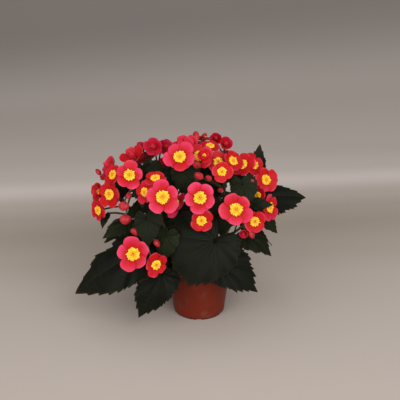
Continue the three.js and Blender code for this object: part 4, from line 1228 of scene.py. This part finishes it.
leafShape = {
    "thickness": 0.7, "tipSharpness": 2.2, "tipPower": 1.1, "taper": 0.25, "notchDepth": 0.72,
    "notchSpread": 0.42, "skew": 0.12, "arch": 0.3, "sag": 0.22, "droop": 0.8, "wave": 0.035, "large": 70,
    "lean": (0.6, 0.75), "edge": 1.025, "lobe": 0.042, "tooth": 0.05, "toothSizes": (0.45, 1.45), "teeth": 15,
    "fewerTeeth": 11, "smallTeeth": 3, "columnsEach": 12, "quilt": 0.018, "curl": 0.02,
    "veinAngles": (0, 31, 64, 101, 142, 196), "stalkUnder": 0.9, "junctionUnder": 0.6, "junctionHeight": 1.2,
    "rings": (0.012, 0.1, 0.18, 0.28, 0.39, 0.51, 0.63, 0.74, 0.84, 0.92, 0.97, 1.0),
    "seed": 300, "largeTones": (0.02, 0.12), "smallTones": (0.3, 0.7), "branchTones": (0.3, 0.6),
}


def bladeReach(leaf, length, angle):
    away = abs(angle)
    pointed = exp(-leafShape["tipSharpness"] * away ** leafShape["tipPower"])
    body = leaf["breadth"] + (1 - leaf["breadth"]) * pointed
    lobe = 1 - leaf.get("taper", leafShape["taper"]) * (away / pi) ** 2
    notch = 1 - leafShape["notchDepth"] * exp(-((pi - away) / leafShape["notchSpread"]) ** 2)
    return length * body * lobe * notch * (1 + leaf.get("skew", leafShape["skew"]) * sin(angle))


def bladeHeight(length, x, y, share, angle):
    along = x / length
    arch = leafShape["arch"] * (along * (1 - along) if along > 0 else -leafShape["droop"] * along * along)
    wave = leafShape["wave"] * share * share * sin(5 * angle + length)
    return length * (arch - leafShape["sag"] * (y / length) ** 2 + wave)


# The number of the main vein at an angle from the tip, with fractions between two veins.
def veinTurn(angle):
    away = abs(degrees(angle))
    veins = leafShape["veinAngles"]
    i = max(k for k in range(len(veins) - 1) if away >= veins[k])
    return copysign(i + (away - veins[i]) / (veins[i + 1] - veins[i]), angle)


# One blade: its toothed sheet and its stalk, which goes from a node to its base.
def addBlade(shape, leaf, radius, node, draw, tone):
    origin = Vector(leaf["from"])
    along = Vector(leaf["tip"]) - origin
    length = along.length
    along.normalize()
    up = Vector(leaf["up"])
    up = (up - along * up.dot(along)).normalized()
    across = up.cross(along)
    teeth = leafShape["teeth" if length > leafShape["large"] else "fewerTeeth"]
    columns = teeth * leafShape["columnsEach"]
    small = leafShape["smallTeeth"]
    sizes = [draw.uniform(*leafShape["toothSizes"]) for _ in range(small * teeth + 1)]
    grid = []
    for share in leafShape["rings"]:
        row = []
        for column in range(columns + 1):
            angle = 2 * pi * column / columns - pi
            away = abs(angle) / (2 * pi) * teeth
            step, place = away * 2, away * small
            lobe = leafShape["lobe"] * (1 - 4 * abs(((step + 1) / 2) % 1 - 0.5))
            tooth = leafShape["tooth"] * (1 - 2 * (place % 1)) * sizes[int(place)]
            edge = leafShape["edge"] + (lobe * smooth(abs(angle), 0.05, 0.3) + tooth) * share ** 8
            x, y, _ = around(bladeReach(leaf, length, angle) * share * edge, angle)
            vein = veinTurn(angle)
            swell = sin(pi * share) * (0.5 - 0.5 * cos(2 * pi * vein))
            curl = share ** 5 * sin(pi * step + length)
            height = bladeHeight(length, x, y, share, angle)
            height += length * (leafShape["quilt"] * swell + leafShape["curl"] * curl)
            place = origin + along * x + across * y + up * (height + leafShape["thickness"] / 2)
            row.append((place, (0.5 + vein / 10, share, tone)))
        grid.append(row)
    sheet(shape, grid, leafShape["thickness"], up, "leafTop", "leafUnder")
    arriving = (along * leafShape["lean"][0] + up * leafShape["lean"][1]).normalized()
    handles = stalkHandles(node, origin - up * leafShape["stalkUnder"], arriving)
    tube(shape, handles, radius, radius * stalkShape["petioleTip"], "stalk", sides=11, steps=18)
    bead(shape, origin - up * leafShape["junctionUnder"], up, leafShape["junctionHeight"],
         length * 0.015 + 0.5, "leafTop", 0.0, sides=12)
    return handles


def makeLeaf(leaf, number):
    shape = Shape("leafTop", "leafUnder", "stalk")
    draw = random.Random(leafShape["seed"] + number)
    large = (Vector(leaf["tip"]) - Vector(leaf["from"])).length > leafShape["large"]
    tone = draw.uniform(*leafShape["largeTones" if large else "smallTones"])
    handles = addBlade(shape, leaf, stalkShape["petiole"], leafNode(leaf), draw, tone)
    branch = pointOn(handles, stalkShape["branchShare"])
    for blade in leaf.get("more", []):
        node = {"end": branch, "way": (Vector(blade["from"]) - branch).normalized()}
        tone = draw.uniform(*leafShape["branchTones"])
        addBlade(shape, blade, stalkShape["branch"], node, draw, tone)
    shape.piece(pieceName("leaf", leaf["name"]), "leaf_" + leaf["name"])


def makeSweep():
    shape = Shape("sweep")
    profile = [(sweep["near"], 0.0), (sweep["bend"], 0.0)]
    for i in range(1, sweep["steps"] + 1):
        x, y, _ = around(sweep["radius"], pi / 2 * i / sweep["steps"])
        profile.append((sweep["bend"] + y, sweep["radius"] - x))
    profile.append((profile[-1][0], sweep["top"]))
    rows = [[shape.add((x, y, z)) for x in (-sweep["halfWidth"], sweep["halfWidth"])] for y, z in profile]
    shape.skin(rows, "sweep", closed=False)
    mesh = bpy.data.meshes.new("studioSweep")
    mesh.from_pydata(shape.points, [], shape.faces)
    mesh.materials.append(materials["sweep"])
    mesh.polygons.foreach_set("use_smooth", [True] * len(shape.faces))
    floor = newObject("studioSweep", mesh)


makeCamera()
makeLights()
makeSweep()
print("camera, lights and sweep made")
makePot()
makeSoil()
print("pot and soil made")
for make, plans, label in ((makeStem, stems, "stems"), (makeSpray, sprays, "flower sprays"),
                           (makeLeaf, leaves, "leaves")):
    for number, plan in enumerate(plans):
        make(plan, number)
    print(label, "made")
